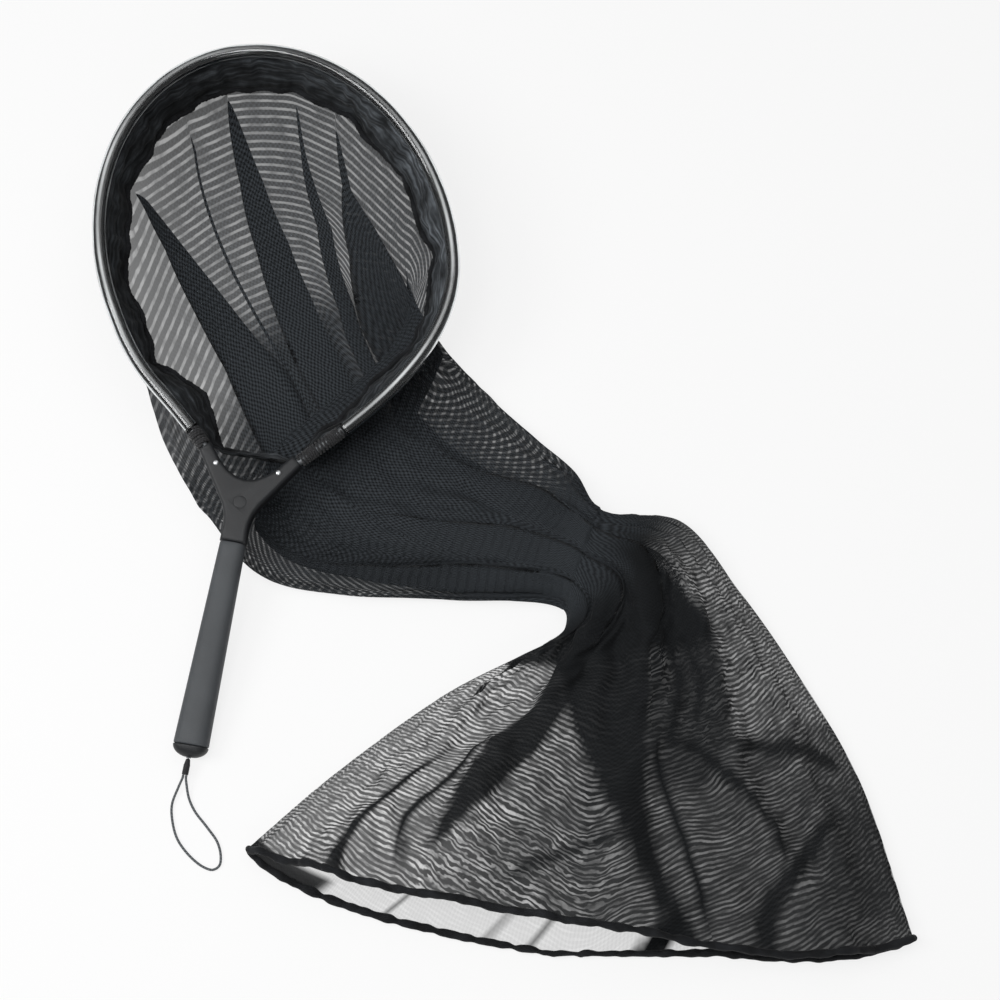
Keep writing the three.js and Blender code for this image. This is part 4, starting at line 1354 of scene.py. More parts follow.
    def lashing(self, cord: Lashing, start: float, end: float) -> None:
        """Cord wound along a stretch of tube.

        Args:
            cord: Its turns and size.
            start: Where it begins on the tube.
            end: Where it ends.
        """
        core = self.stretch(start, end, cord.points * cord.turns + 1)
        inward, up = self.frame_of(core)
        share = np.linspace(0, 1, len(core))
        angle = TURN * cord.turns * share
        rate, phase = self.lashing_wave
        uneven = cord.slack * np.sin(angle / cord.turns * rate + phase) * np.sin(np.pi * share)
        coil = self.tube_radius + SEAT + cord.radius
        along = heading(core)
        pitch = np.linalg.norm(core[-1] - core[0]) / cord.turns
        line = core + coil * (up * np.cos(angle)[:, None] + inward * np.sin(angle)[:, None])
        line = line + along * (uneven * pitch)[:, None]
        rings = tube_rows(line, cord.radius, self.lashing_sides, up=along.mean(axis=0))
        net_piece(cord.node + "_turns", self.placement, rings, LASHING_CORD, cord.node, wraps=True,
                  capped=True)


# Knitted sock


@dataclass(frozen=True)
class SockPlace:
    """One place of the collapsed sock: its two edges, crown, edge height, bow and lower layer's reach."""

    left: Span
    right: Span
    crown: float
    edge: float
    bow: float = 0.0
    reach: float = 0.0


@dataclass(frozen=True)
class Fold:
    """A main ridge of the upper layer: degrees round it, stations where it starts and ends, and height."""

    turn: float
    start: float
    end: float
    height: float


@dataclass(frozen=True)
class Pleat:
    """A fold of the cloth: at each station, the degrees round the sock between which it lies."""

    knots: Knots
    lift: float = 0.0014
    layers: int = 3


@dataclass(frozen=True)
class Panel:
    """Net between two folds under the hoop, in rows whose planes face one way in the photograph's view."""

    after: int
    fold: int
    facing: float
    close: float = 1.0


@dataclass(frozen=True)
class Gather:
    """Net of the upper layer that is drawn together: at each station, the degrees between which it lies."""

    knots: Knots
    dense: float
    soft: float = 1.2
    run: float = 0.12
    lift: float = 0.002
    tug_rise: float = 0.4  # stations over which its tug on the net beside it starts
    tug_fall: float = 0.3  # and ends

    def share(self, station: Array, turn: Array) -> Array:
        """How much of the gather is at each point.

        Args:
            station: Stations of the points.
            turn: Degrees of the points round the sock.

        Returns:
            Shares from 0 to 1.
        """
        low, high = between(self.knots, station)
        first, last = self.knots[0][0], self.knots[-1][0]
        near = (-self.soft, self.soft)
        inside = smoothstep(*near, turn - low) * smoothstep(*near, high - turn)
        return inside * window((first, first + self.run), (last - self.run, last), station)

    def beside(self, station: Array, turn: Array, reach: float) -> Array:
        """How near each point lies to the middle of the gather.

        Args:
            station: Stations of the points.
            turn: Degrees of the points round the sock.
            reach: Degrees over which the nearness falls.

        Returns:
            Nearness from 0 to 1.
        """
        low, high = between(self.knots, station)
        first, last = self.knots[0][0], self.knots[-1][0]
        ends = window((first, first + self.tug_rise), (last, last + self.tug_fall), station)
        return ends * np.exp(-(((turn - (low + high) / 2) / reach) ** 2))


@dataclass(frozen=True)
class Patch:
    """A part of the upper layer: degrees over which it rises and falls, stations over which it starts."""

    rise: Span
    fall: Span
    stations: Span

    def share(self, station: Array, turn: Array) -> Array:
        """How much of the patch is at each point, from 0 to 1."""
        return window(self.rise, self.fall, turn) * smoothstep(*self.stations, station)


@dataclass(frozen=True)
class Wrinkles:
    """The small folds that stand off the sock."""

    upper: Span = (-0.3, 0.4)  # sines of the place round, over which the upper layer starts
    least: float = 0.0012
    body: float = 0.0022
    body_rise: Span = (0.3, 2.0)
    flare: float = 0.0012
    flare_rise: Span = (5.2, 7.0)
    calm_edge: Span = (0.8, 0.97)  # how far out the flare's edges start to lie calm
    calm_rise: Span = (5.0, 6.0)
    still: float = 0.12  # stations over which the net leaves its seam without a wrinkle
    tail: Span = (9.2, 10.0)
    ruffled: Patch = Patch((78, 90), (118, 134), (8.4, 9.2))
    long_folds: Ripple = Ripple(31, (0.05, 0.14), (0.25, 0.8), 8, height=0.8)
    creases: Ripple = Ripple(32, (0.02, 0.06), (0.05, 0.2), 12, height=0.55)
    crumples: Ripple = Ripple(34, (0.018, 0.05), (0.018, 0.05), 14, height=0.0022)
    scallops: Ripple = Ripple(33, (0.045, 0.11), (0.4, 1.0), 8, height=0.003)

    def heights(self, angle: Array, cloth: Array, length: Array, station: Array) -> Array:
        """How far the small folds stand off.

        Args:
            angle: Place of each point round the carrier.
            cloth: Place round the cloth, in metres.
            length: Place along it, in metres.
            station: Station of each round.

        Returns:
            Heights in metres.
        """
        upper = smoothstep(*self.upper, np.sin(angle))
        size = self.least + self.body * smoothstep(*self.body_rise, station) * upper
        size = size + self.flare * smoothstep(*self.flare_rise, station) * upper
        calm = smoothstep(*self.calm_edge, np.abs(np.cos(angle))) * smoothstep(*self.calm_rise, station)
        size = size * (1 - calm)
        heights = size * (self.long_folds(cloth, length) + self.creases(cloth, length))
        heights = heights + self.ruffled.share(station, np.degrees(angle)) * self.crumples(cloth, length)
        tail = smoothstep(*self.tail, station) * upper * self.scallops(cloth, length)
        return smoothstep(0.0, self.still, station) * (heights + tail)


@dataclass(frozen=True)
class Knit:
    """How much of what lies behind it the net covers, and how far its open courses open."""

    cover: float
    opened: float


@dataclass(frozen=True)
class Density:
    """How dense, how open in its open courses and how slack the knit is over the sock."""

    hoop_cover: Knots = ((225, 0.8), (250, 0.84), (265, 0.89), (285, 0.915), (305, 0.935), (330, 0.925),
                         (360, 0.945), (390, 0.95))  # degrees round the seam, and cover
    hoop_opened: float = 0.26
    hoop_end: Knots = ((246, 0.96), (256, 0.88))  # degrees, and the station where the net under the hoop ends
    hoop_run: float = 0.14
    top: Knit = Knit(0.94, 0.14)
    bottom: Knit = Knit(0.996, 0.0)
    bottom_from: float = -0.02
    edge: Knit = Knit(-0.05, 0.42)  # what the thin edges beside the handle add
    edge_from: Span = (0.35, 0.75)
    edge_rise: Span = (0.7, 1.0)
    edge_fall: Span = (3.4, 4.4)
    edge_slack: float = 0.3
    flare: Knots = ((-0.95, 0.785, 0.88), (-0.6, 0.83, 0.84), (-0.25, 0.94, 0.56), (0.1, 0.96, 0.33),
                    (0.5, 0.968, 0.19), (0.9, 0.965, 0.19))  # place from left to right, cover and opening
    flare_rise: Span = (5.3, 6.2)
    clouds: Ripple = Ripple(62, (0.05, 0.16), (0.05, 0.16), 12)
    clouds_limit: float = 1.5
    cloudy: float = 0.3
    panel: Gather = Gather(((5.5, -9, 60), (5.83, -9, 66), (6.25, -9, 69), (7.07, -9, 56), (8.6, -9, 54)),
                           1.0, 2.0, 0.15, 0.0)
    panel_adds: Knit = Knit(-0.04, 0.2)
    steepest: float = 0.55  # least share of a level face that a slope shows
    slope_rise: Span = (5.0, 6.5)
    lower: Knit = Knit(0.25, 0.08)  # the lower layer past the throat
    lower_rise: Span = (5.6, 6.6)
    slack_rise: Span = (5.0, 6.6)
    crumpled: tuple[Patch, ...] = (
        Patch((78, 86), (116, 124), (9.2, 9.45)),
        Patch((50, 58), (78, 84), (8.8, 8.4)),
    )
    crumpled_slack: float = 0.9
    lip_lines: tuple[Gather, ...] = tuple(
        Gather(((9.7, turn - 4.4, turn - 3.3), (10.0, turn - 8.4, turn - 7.3),
                (10.2, turn - 8.4, turn - 7.3)), 0.7, 0.4, 0.1, 0.0)
        for turn in (243, 263, 270.4)
    ) + (
        Gather(((9.85, 178, 221), (10.2, 178, 217)), 0.97, 2.0, 0.05, 0.0),
        Gather(((9.74, 286, 290.5), (9.84, 284, 289.5), (10.0, 280.5, 286.5), (10.2, 280, 286)),
               1.0, 0.9, 0.06, 0.0),
    )

    def marks(self, point: Array, angle: Array, station: Array, drawn: Sequence[tuple[Gather, Array]],
              full_turn: float) -> dict[str, Array]:
        """The values that the net's finish reads.

        Args:
            point: The finished points.
            angle: Their places round the carrier.
            station: Their stations.
            drawn: Each gather, with its share at each point.
            full_turn: Degrees below which a place under the hoop lies past a full turn.

        Returns:
            The finish's three marks.
        """
        side, below = np.cos(angle), np.sin(angle) < self.bottom_from
        turn = np.degrees(angle) % 360
        past = smoothstep(-self.hoop_run, 0.0, station - between(self.hoop_end, turn)[0])
        cover = between(self.hoop_cover, np.where(turn < full_turn, turn + 360, turn))[0]
        cover = mixed(cover, np.where(below, self.bottom.cover, self.top.cover), past)
        opened = mixed(self.hoop_opened, np.where(below, self.bottom.opened, self.top.opened), past)
        edges = smoothstep(*self.edge_from, np.abs(side)) * window(self.edge_rise, self.edge_fall, station)
        cover, opened = cover + self.edge.cover * edges, opened + self.edge.opened * edges
        flare = smoothstep(*self.flare_rise, station)
        flare_cover, flare_opened = between(self.flare, side)
        cover, opened = mixed(cover, flare_cover, flare), mixed(opened, flare_opened, flare)
        clouds = np.clip(self.clouds(point[..., 0], point[..., 1]), -self.clouds_limit, self.clouds_limit)
        opened = opened * (1 + self.cloudy * flare * clouds)
        panel = self.panel.share(station, turn)
        cover, opened = cover + self.panel_adds.cover * panel, opened + self.panel_adds.opened * panel
        normal = unit(np.cross(np.gradient(point, axis=1), np.gradient(point, axis=0)))
        slope = 1 / np.maximum(np.abs(normal[..., 2]), self.steepest)
        cover = 1 - (1 - cover) ** (1 + (slope - 1) * smoothstep(*self.slope_rise, station))
        lower = below * smoothstep(*self.lower_rise, station)
        cover, opened = mixed(cover, self.lower.cover, lower), mixed(opened, self.lower.opened, lower)
        for gather, share in [*drawn, *((line, line.share(station, turn)) for line in self.lip_lines)]:
            cover = 1 - (1 - cover) * (1 - gather.dense * share)
            opened = opened * (1 - gather.dense * share)
        crumpled = sum(patch.share(station, turn) for patch in self.crumpled)
        loose = 1 + self.crumpled_slack * crumpled
        slack = smoothstep(*self.slack_rise, station) * loose + self.edge_slack * edges
        return {"cover": cover, "opened": opened, "slack": slack}


@dataclass(frozen=True)
class Sock:
    """The knitted tube from the rolled seam to its open end, and the end's rolled hem.

    A station counts the places: 0 at the seam, 1 at the first place and so on to the end hem.
    """

    hoop: Hoop
    shift: Array
    places: tuple[SockPlace, ...] = (
        SockPlace((-0.314, -0.010), (-0.057, 0.170), 0.011, 0.005),
        SockPlace((-0.247, -0.088), (-0.011, 0.116), 0.022, 0.006),
        SockPlace((-0.154, -0.109), (0.042, 0.064), 0.032, 0.007),
        SockPlace((-0.051, -0.113), (0.079, 0.029), 0.038, 0.008),
        SockPlace((0.066, -0.126), (0.106, -0.016), 0.040, 0.009),
        SockPlace((0.061, -0.153), (0.188, -0.027), 0.040, 0.009, 0.006),
        SockPlace((0.020, -0.174), (0.247, -0.105), 0.036, 0.008, 0.010),
        SockPlace((-0.050, -0.211), (0.294, -0.180), 0.032, 0.007, 0.015),
        SockPlace((-0.168, -0.300), (0.355, -0.299), 0.034, 0.008, 0.022, 0.010),
        SockPlace((-0.245, -0.370), (0.397, -0.456), 0.046, 0.011, 0.033, 0.028),
    )
    folds: tuple[Fold, ...] = (
        Fold(139, 6.6, 12, 0.009),
        Fold(116, 5.6, 10, 0.010),
        Fold(84, 5.2, 12, 0.013),
        Fold(57, 5.2, 10, 0.011),
        Fold(36, 6.4, 12, 0.009),
    )
    fold_spread: float = 10.0
    fold_run: float = 1.4
    bow_power: float = 4.0
    bow_skew: float = 0.35
    reach_limit: float = 0.45
    reach_fade: float = 0.5
    crown_skew: float = 0.35
    skew_start: float = 0.6
    pleats: tuple[Pleat, ...] = (
        Pleat(((2.2, 66, 66), (4.0, 56, 86), (6.4, 70, 93), (7.4, 82, 82), (8.4, 80, 80), (8.71, 77.5, 77.5),
               (9.28, 71.5, 71.5), (9.74, 67.5, 67.5), (10.05, 65.5, 65.5)), 0.0006),
        Pleat(((2.2, 104, 104), (4.0, 91, 121), (6.4, 97, 121), (7.4, 113, 113), (8.4, 121, 121),
               (9.0, 125.5, 125.5), (9.33, 129, 129), (9.6, 127.5, 127.5), (9.85, 124.5, 124.5),
               (10.2, 121, 121)), 0.0006),
        Pleat(((2.2, 140, 140), (4.0, 126, 160), (6.4, 126, 160), (7.3, 136, 136), (8.5, 130, 130),
               (8.9, 135.5, 135.5), (9.38, 139, 139), (10.05, 137, 137)), 0.0006),
        Pleat(((0.10, 246, 246), (0.5, 251.5, 258), (0.7, 251, 264), (0.83, 250, 267.5), (0.9, 247, 270),
               (1.15, 236, 261), (1.5, 217, 247), (6.6, 217, 247), (7.6, 242, 242), (9.4, 242, 242),
               (10, 234, 234)), layers=5),
        Pleat(((0.05, 275, 275), (0.3, 275.5, 276.3), (0.7, 272, 273.2), (0.9, 271, 272), (1.15, 263, 264),
               (1.5, 249.5, 250), (6.6, 249.5, 250), (7.6, 254, 254), (9.4, 256, 256), (10, 248, 248))),
        Pleat(((0.06, 289, 289), (0.37, 288.6, 294), (0.5, 288, 296), (0.69, 284, 297), (0.81, 279, 295),
               (0.9, 275, 292), (1.15, 266, 282), (1.5, 252, 273), (6.6, 252, 273), (7.6, 268, 268),
               (9.4, 268, 268), (10, 260, 260)), layers=5),
        Pleat(((0.02, 309.5, 309.5), (0.38, 311.5, 313.2), (0.65, 310.8, 317), (0.85, 302.5, 310),
               (0.9, 298.5, 306.5), (1.15, 287, 293), (1.5, 276, 290), (6.6, 276, 290), (7.6, 284, 284),
               (9.4, 284, 284), (10, 276, 276))),
        Pleat(((0.14, 324, 324), (0.47, 327, 331), (0.58, 324.5, 343), (0.73, 320, 354), (0.82, 313, 356),
               (0.9, 306.5, 357), (1.15, 298, 330), (1.5, 292, 304), (6.6, 292, 304), (7.6, 300, 300),
               (9.4, 300, 300), (10, 292, 292)), 0.0022),
    )
    bunches: tuple[Gather, ...] = (
        Gather(((4.4, -9, 189), (5.3, 0, 189), (5.6, 50, 189), (5.83, 66, 189), (6.25, 68, 189),
                (7.07, 57, 189), (7.3, 54, 165), (7.7, 53, 128)), 0.97, 3.0, 0.3, 0.0),
        Gather(((6.6, 75, 126), (7.5, 82, 121), (8.2, 81, 106), (8.85, 79.5, 91.5), (9.3, 77, 84.5),
                (9.57, 75, 80.5), (9.95, 69, 75), (10.2, 66, 72)), 0.97, 1.2),
        Gather(((6.8, 52, 84), (7.8, 53, 82), (8.4, 56, 81), (8.75, 62, 80), (9.1, 70, 79)), 0.72, 1.6, 0.3),
    )
    creases: tuple[Gather, ...] = (
        Gather(((7.5, 108, 120), (8.2, 105.5, 116), (8.6, 106.5, 121), (9.0, 111.5, 121), (9.35, 116.5, 121),
                (9.65, 119, 121)), 0.96, 1.0),
        Gather(((8.4, 120, 122.3), (9.0, 124.5, 126.8), (9.33, 128, 130.3), (9.6, 125.5, 127.8),
                (9.9, 122, 124.5)), 0.98, 0.7, 0.25),
        Gather(((8.6, 130.4, 132.7), (8.9, 134.5, 136.8), (9.38, 138, 140.3), (9.68, 138, 140.8),
                (9.95, 135.5, 139), (10.2, 134, 138)), 0.98, 0.7, 0.25),
        Gather(((8.4, 79.2, 81.1), (8.71, 76.7, 78.6), (9.28, 70.7, 72.6), (9.74, 66.7, 68.6),
                (10.05, 64.7, 66.6)), 0.97, 0.7, 0.3),
        Gather(((8.48, 70, 80), (8.58, 66, 74), (8.68, 62.5, 67.5), (9.0, 53.5, 57), (9.21, 49.8, 52.6),
                (9.5, 47, 49)), 0.93, 0.9),
        Gather(((9.15, 22, 31), (9.24, 28, 37), (9.32, 35, 42), (9.47, 42, 48), (9.63, 48, 54),
                (9.8, 52, 57.5), (10.1, 54, 58)), 0.93, 0.9),
    )
    strands: tuple[Gather, ...] = (
        Gather(((8.54, 53, 62), (8.62, 37, 58), (8.69, 28, 46), (8.8, 22, 32), (8.93, 16, 24)),
               0.88, 1.0, 0.05),
        Gather(((9.3, 79, 85), (9.38, 82, 88), (9.49, 90.5, 97), (9.69, 98.5, 103), (9.8, 101, 104)),
               0.75, 1.0, 0.05),
        Gather(((8.8, 0, 32), (9.5, 0, 38), (10.2, 0, 50)), 0.6, 8.0, 0.5, 0.0),
        Gather(((6.9, 60, 63), (7.5, 65, 68), (8.0, 61, 64.5), (8.5, 66, 69)), 0.9, 0.9, 0.2),
        Gather(((6.9, 71, 74), (7.4, 73, 76), (8.0, 69, 72.5), (8.7, 74, 77)), 0.9, 0.9, 0.2),
    )
    panels: tuple[Panel, ...] = (
        Panel(2, 3, 161.0),
        Panel(3, 3, 129.0),
        Panel(4, 4, 117.0),
        Panel(7, 7, 45.0, 1.35),
    )
    panels_end: float = 0.95
    panels_left: Span = (145.0, 170.0)  # degrees round the seam over which the panels start
    panels_right: Span = (45.0, 15.0)  # and end, past a full turn
    full_turn: float = 120.0  # degrees below which a place under the hoop lies past a full turn
    wrinkles: Wrinkles = Wrinkles()
    density: Density = Density()
    flat_share: float = 0.7
    drop: float = 0.95
    turn: float = 0.75
    mouth_rows: int = 80
    body_rows: int = 172
    fold_columns: int = 4
    fold_least: float = 0.3  # degrees that a closed fold still takes
    fold_open: float = 0.05  # radians over which it gets its full height
    fold_flat: float = 2.5  # how many times that width a fold is when it lies in full layers
    fold_clear: float = 0.4  # how much of its lift a fold keeps on the table
    plain_step: float = 1.16
    plain_least: int = 6
    plain_fall: float = 3.0  # lines over which the net comes down beside a fold
    fine: int = 1440
    inset: float = 0.001
    table_gap: float = 0.0006
    flat_size: Span = (1.29, 1.08)
    throat: float = 5.0  # station where the courses turn slack
    far_courses: float = 2.0  # keeps their lengths above zero
    right_from: Span = (-0.03, 0.06)  # metres from the middle over which the right half's courses start
    slack_courses: float = 1.65  # how much closer the courses lie past the throat, where nothing pulls them
    lean_left: float = 0.38  # how far the courses on the left turn to the end, for each length to the right
    lean_right: float = 0.6  # how far those on the right turn away from it
    tug: float = 0.01  # how far a crease draws the courses beside it
    tug_reach: float = 6.0
    drape: Ripple = Ripple(61, (0.1, 0.3), (0.1, 0.3), 9, height=0.006)  # how the slack courses waver
    drape_rise: Span = (5.5, 7.0)
    hem_radius: float = 0.0049
    hem_mean: float = 0.82  # its mean radius, as a share of the full one
    hem_out: float = 0.6  # how far it lies past the net's edge, in radii
    hem_points: int = 900
    hem_sides: int = 14
    hem_ribs: Ripple = Ripple(41, (0.009, 0.04), count=12, height=0.19)

    def across(self, t: Array) -> tuple[Array, Array, Array]:
        """Reads the list of places.

        Args:
            t: Places from 0 to 1 past the mouth.

        Returns:
            Left edges, right edges and forms: crown, bow and reach.
        """
        left = through([(*p.left, p.edge) for p in self.places], t)
        right = through([(*p.right, p.edge) for p in self.places], t)
        return left, right, through([(p.crown, p.bow, p.reach) for p in self.places], t)

    def edges_at(self, t: float) -> tuple[Array, Array]:
        """The left and the right edge at one place past the mouth."""
        left, right, _ = self.across(np.array([t]))
        return left[0], right[0]

    def first_heading(self) -> float:
        """The way from the left to the right edge at the first place, in radians."""
        left, right = self.edges_at(0.0)
        return math.atan2(right[1] - left[1], right[0] - left[0])

    def rounds(self, t: Array) -> Array:
        """Rounds of the collapsed tube, finely divided.

        Args:
            t: Places from 0 to 1 past the mouth.

        Returns:
            One round a place, in the layout.
        """
        left, right, form = self.across(t)
        angle = np.linspace(0, TURN, self.fine, endpoint=False)
        s, upper = np.cos(angle)[None], (angle < np.pi)[None]
        lift = np.maximum(0, (np.abs(s) - self.flat_share) / (1 - self.flat_share)) ** 2
        rise = np.sqrt(np.maximum(0, 1 - s * s))
        point = left[:, None] + (right - left)[:, None] * ((1 + s) / 2)[..., None]
        edge = left[:, 2:3]
        crown = form[:, :1] * (1 - self.crown_skew * smoothstep(self.skew_start, 1, t)[:, None] * s)
        top = edge + (crown - edge) * rise + self.ridges(1 + t * (len(self.places) - 1), angle)
        point[..., 2] = np.where(upper, top, edge * lift)
        bow = form[:, 1:2] * (1 - np.abs(s) ** self.bow_power) * (1 + self.bow_skew * s)
        reach = form[:, 2:3] * rise * np.clip((self.reach_limit - s) / self.reach_fade, 0, 1)
        return point + self.flow(left, right)[:, None] * (bow + np.where(upper, 0.0, reach))[..., None]

    def ridges(self, station: Array, angle: Array) -> Array:
        """How far the main folds lift the upper layer.

        Args:
            station: Station of each round.
            angle: Angles round it.

        Returns:
            Heights in metres, a row for each round.
        """
        total = np.zeros((len(station), len(angle)))
        for ridge in self.folds:
            away = np.minimum(1, np.abs(np.degrees(angle)[None] - ridge.turn) / self.fold_spread)
            rise = smoothstep(ridge.start, ridge.start + self.fold_run, station)
            fall = smoothstep(ridge.end - self.fold_run, ridge.end, station)
            total += (ridge.height * rise * (1 - fall))[:, None] * np.cos(away * np.pi / 2) ** 2
        return total

    @staticmethod
    def flow(left: Array, right: Array) -> Array:
        """Level direction from the mouth to the open end."""
        gap = right - left
        return unit(np.stack([gap[:, 1], -gap[:, 0], np.zeros(len(gap))], axis=1))

    def mouth(self) -> Array:
        """Leads the net from the rolled seam to the first place: each line drops and then turns level.

        Returns:
            The rounds, in the layout.
        """
        hoop = self.hoop
        seam = hoop.seam(hoop.bead_radius, hoop.collar_points, lumps=0.0)[:-1]
        seam = moved(hoop.placement, seam) - self.shift
        end = self.rounds(np.array([0.0]))[0]
        left, right = self.edges_at(0.0)
        polar = hoop.polar(seam)
        order = np.argsort(polar)
        wanted = self.first_heading() - np.linspace(0, TURN, self.fine, endpoint=False)
        columns = [np.interp(wanted, polar[order], column[order], period=TURN) for column in seam.T]
        start = np.stack(columns, axis=1)
        run = np.linalg.norm(end - start, axis=1)
        dropped = start.copy()
        dropped[:, 2] += (np.minimum(start[:, 2], end[:, 2]) - start[:, 2]) * self.drop
        level = end - self.flow(left[None], right[None]) * (self.turn * run)[:, None]
        t = np.linspace(0, 1, self.mouth_rows, endpoint=False)[:, None, None]
        return bezier(start, dropped, level, end, t)

    def carrier(self) -> tuple[Array, Array]:
        """Makes the smooth tube under the folds.

        Returns:
            Its rounds in the model's frame, and the station of each.
        """
        t = np.linspace(0, 1, self.body_rows)
        stations = np.concatenate([np.linspace(0, 1, self.mouth_rows, endpoint=False),
                                   1 + t * (len(self.places) - 1)])
        return np.concatenate([self.mouth(), self.rounds(t)]) + self.shift, stations

    def columns(self, stations: Array) -> tuple[Array, Array, Array, Array]:
        """Where each line of knitting lies on the carrier, folds included.

        Args:
            stations: The station of each round.

        Returns:
            The angle of each point, in radians, how far folds lift it, where it is a fold's hidden layer, and
            for each line the fold that it comes after, with a fraction inside a fold.
        """
        least = math.radians(self.fold_least)
        edges = [np.radians(between(pleat.knots, stations)) for pleat in self.pleats]
        edges.append(edges[0] + TURN)
        turns, lifts, hidden, after = [], [], [], []
        for index, pleat in enumerate(self.pleats):
            start, end = edges[index]
            wide = np.maximum(end - start, least)
            room = edges[index + 1][0] - start - wide
            folded = smoothstep(least, self.fold_flat * least, end - start)
            full = smoothstep(0.0, self.fold_open, wide)
            for q in np.arange(pleat.layers * self.fold_columns) / self.fold_columns:
                back_and_forth = 0.5 - 0.5 * math.cos(math.pi * q)
                turns.append(start + wide * (folded * back_and_forth + (1 - folded) * q / pleat.layers))
                lifts.append(pleat.lift * full * q * 2 / pleat.layers)
                hidden.append(full * (int(q) % 2))
                after.append(index - 1 + q / pleat.layers)
            count = max(self.plain_least, round(math.degrees(room[self.mouth_rows // 2]) / self.plain_step))
            for k in range(count):
                turns.append(start + wide + room * k / count)
                lifts.append(pleat.lift * full * 2 * math.exp(-k / self.plain_fall))
                hidden.append(np.zeros(len(stations)))
                after.append(float(index))
        return np.stack(turns, axis=1), np.stack(lifts, axis=1), np.stack(hidden, axis=1), np.array(after)

    def build(self) -> None:
        """Makes the sock and its end hem."""
        base, stations = self.carrier()
        around = np.roll(base, -1, axis=1) - np.roll(base, 1, axis=1)
        normal = unit(np.cross(around, np.gradient(base, axis=0)))
        angle, lift, hidden, after = self.columns(stations)
        point, out = self.sampled(base, angle), unit(self.sampled(normal, angle))
        lifted = np.where((np.sin(angle) < 0)[..., None], -out, out)
        cloth = angle / TURN * self.flat_size[0]
        station, turn = stations[:, None] + 0 * angle, np.degrees(angle) % 360
        gathers = self.bunches + self.creases + self.strands
        drawn = [(gather, gather.share(station, turn)) for gather in gathers]
        courses = self.courses(point, angle, stations, after)
        length = np.where(station < self.throat, lengths_along(point), courses)
        bumps = self.wrinkles.heights(angle, cloth, length, station)
        bumps = bumps + sum(gather.lift * share for gather, share in drawn)
        courses = courses + self.drape(point[..., 0], point[..., 1]) * smoothstep(*self.drape_rise, station)
        courses = courses + NET.course / 2 * hidden
        tugged = sum(crease.beside(station, turn, self.tug_reach) for crease in self.creases)
        courses = courses + self.tug * tugged
        point = point - out * self.inset + lifted * lift[..., None] + out * bumps[..., None]
        point[..., 2] = np.maximum(point[..., 2], self.table_gap + self.fold_clear * lift)
        uv = np.stack(np.broadcast_arrays(cloth, courses), axis=-1)
        uv = np.concatenate([uv, uv[:, :1] + np.array([self.flat_size[0], 0.0])], axis=1)
        marks = self.density.marks(point, angle, station, drawn, self.full_turn)
        marks = {name: np.concatenate([v, v[:, :1]], axis=1) for name, v in marks.items()}
        rows = np.concatenate([point, point[:, :1]], axis=1)
        piece = grid_piece("knitted_sock", (rows, uv), wraps=True, marks=marks)
        dress(piece, NET, Body.NET, "net_sock")
        hem = self.end_hem(point[-1], point[-1] - point[-3])

    def courses(self, point: Array, angle: Array, stations: Array, after: Array) -> Array:
        """Where each point lies along the knitting: straight rows under the hoop, slack ones past the throat.

        Args:
            point: The carrier's points.
            angle: Their angles round it.
            stations: The station of each round.
            after: The fold that each line comes after.

        Returns:
            Lengths in metres.
        """
        run = lengths_along(point)
        off, drawn = self.hoop.chord(self.first_heading() - angle[:1] + math.radians(Lie().heading))
        straight = self.straight_rows(point, run * np.cos(off), np.degrees(angle[0]) % 360, after)
        bent = run - drawn
        last = np.searchsorted(stations, self.panels_end)
        ahead = np.where(stations[:, None] < self.panels_end, straight, straight[last] + bent - bent[last])
        left, right = self.edges_at(1.0)
        across = (point - (left + right) / 2 - self.shift) @ unit((right - left) * (1 - UP))
        lean = mixed(self.lean_left, -self.lean_right, smoothstep(*self.right_from, across))
        far = (run[-1:] - run + lean * across) * self.slack_courses
        return np.where(stations[:, None] >= self.throat, self.far_courses - far, ahead)

    def straight_rows(self, point: Array, plain: Array, turn: Array, after: Array) -> Array:
        """Rows of the net under the hoop, straight from fold to fold.

        Args:
            point: The carrier's points.
            plain: Rows where no panel says how they run.
            turn: Degrees round the seam of each line.
            after: The fold that each line comes after.

        Returns:
            Lengths in metres.
        """
        rows = [plain] * len(self.pleats)
        tilt = math.radians(Studio().elevation)
        front = np.where(turn < self.full_turn, smoothstep(*self.panels_right, turn),
                         smoothstep(*self.panels_left, turn))
        for panel in self.panels:
            level, rise = math.cos(math.radians(panel.facing)), math.sin(math.radians(panel.facing))
            way = np.array([level, rise * math.sin(tilt), rise * math.cos(tilt)])
            top = np.argmin(np.abs(after - panel.fold))
            begins = rows[panel.after - 1][0, top]
            planes = begins + (point[0, top] - point) @ way * panel.close
            rows[panel.after] = mixed(plain, planes, front)
        low = np.floor(after).astype(int) % len(rows)
        share = (after - np.floor(after))[:, None]
        stacked, line = np.stack(rows), np.arange(len(after))
        return mixed(stacked[low, :, line], stacked[(low + 1) % len(rows), :, line], share).T

    def sampled(self, field_rows: Array, angle: Array) -> Array:
        """Reads a finely divided field.

        Args:
            field_rows: Its values, round by round.
            angle: The angles at which each round is read.

        Returns:
            The values there.
        """
        place = (angle / TURN * self.fine) % self.fine
        low = place.astype(int) % self.fine
        share = (place - np.floor(place))[..., None]
        row = np.arange(len(field_rows))[:, None]
        return field_rows[row, low] * (1 - share) + field_rows[row, (low + 1) % self.fine] * share

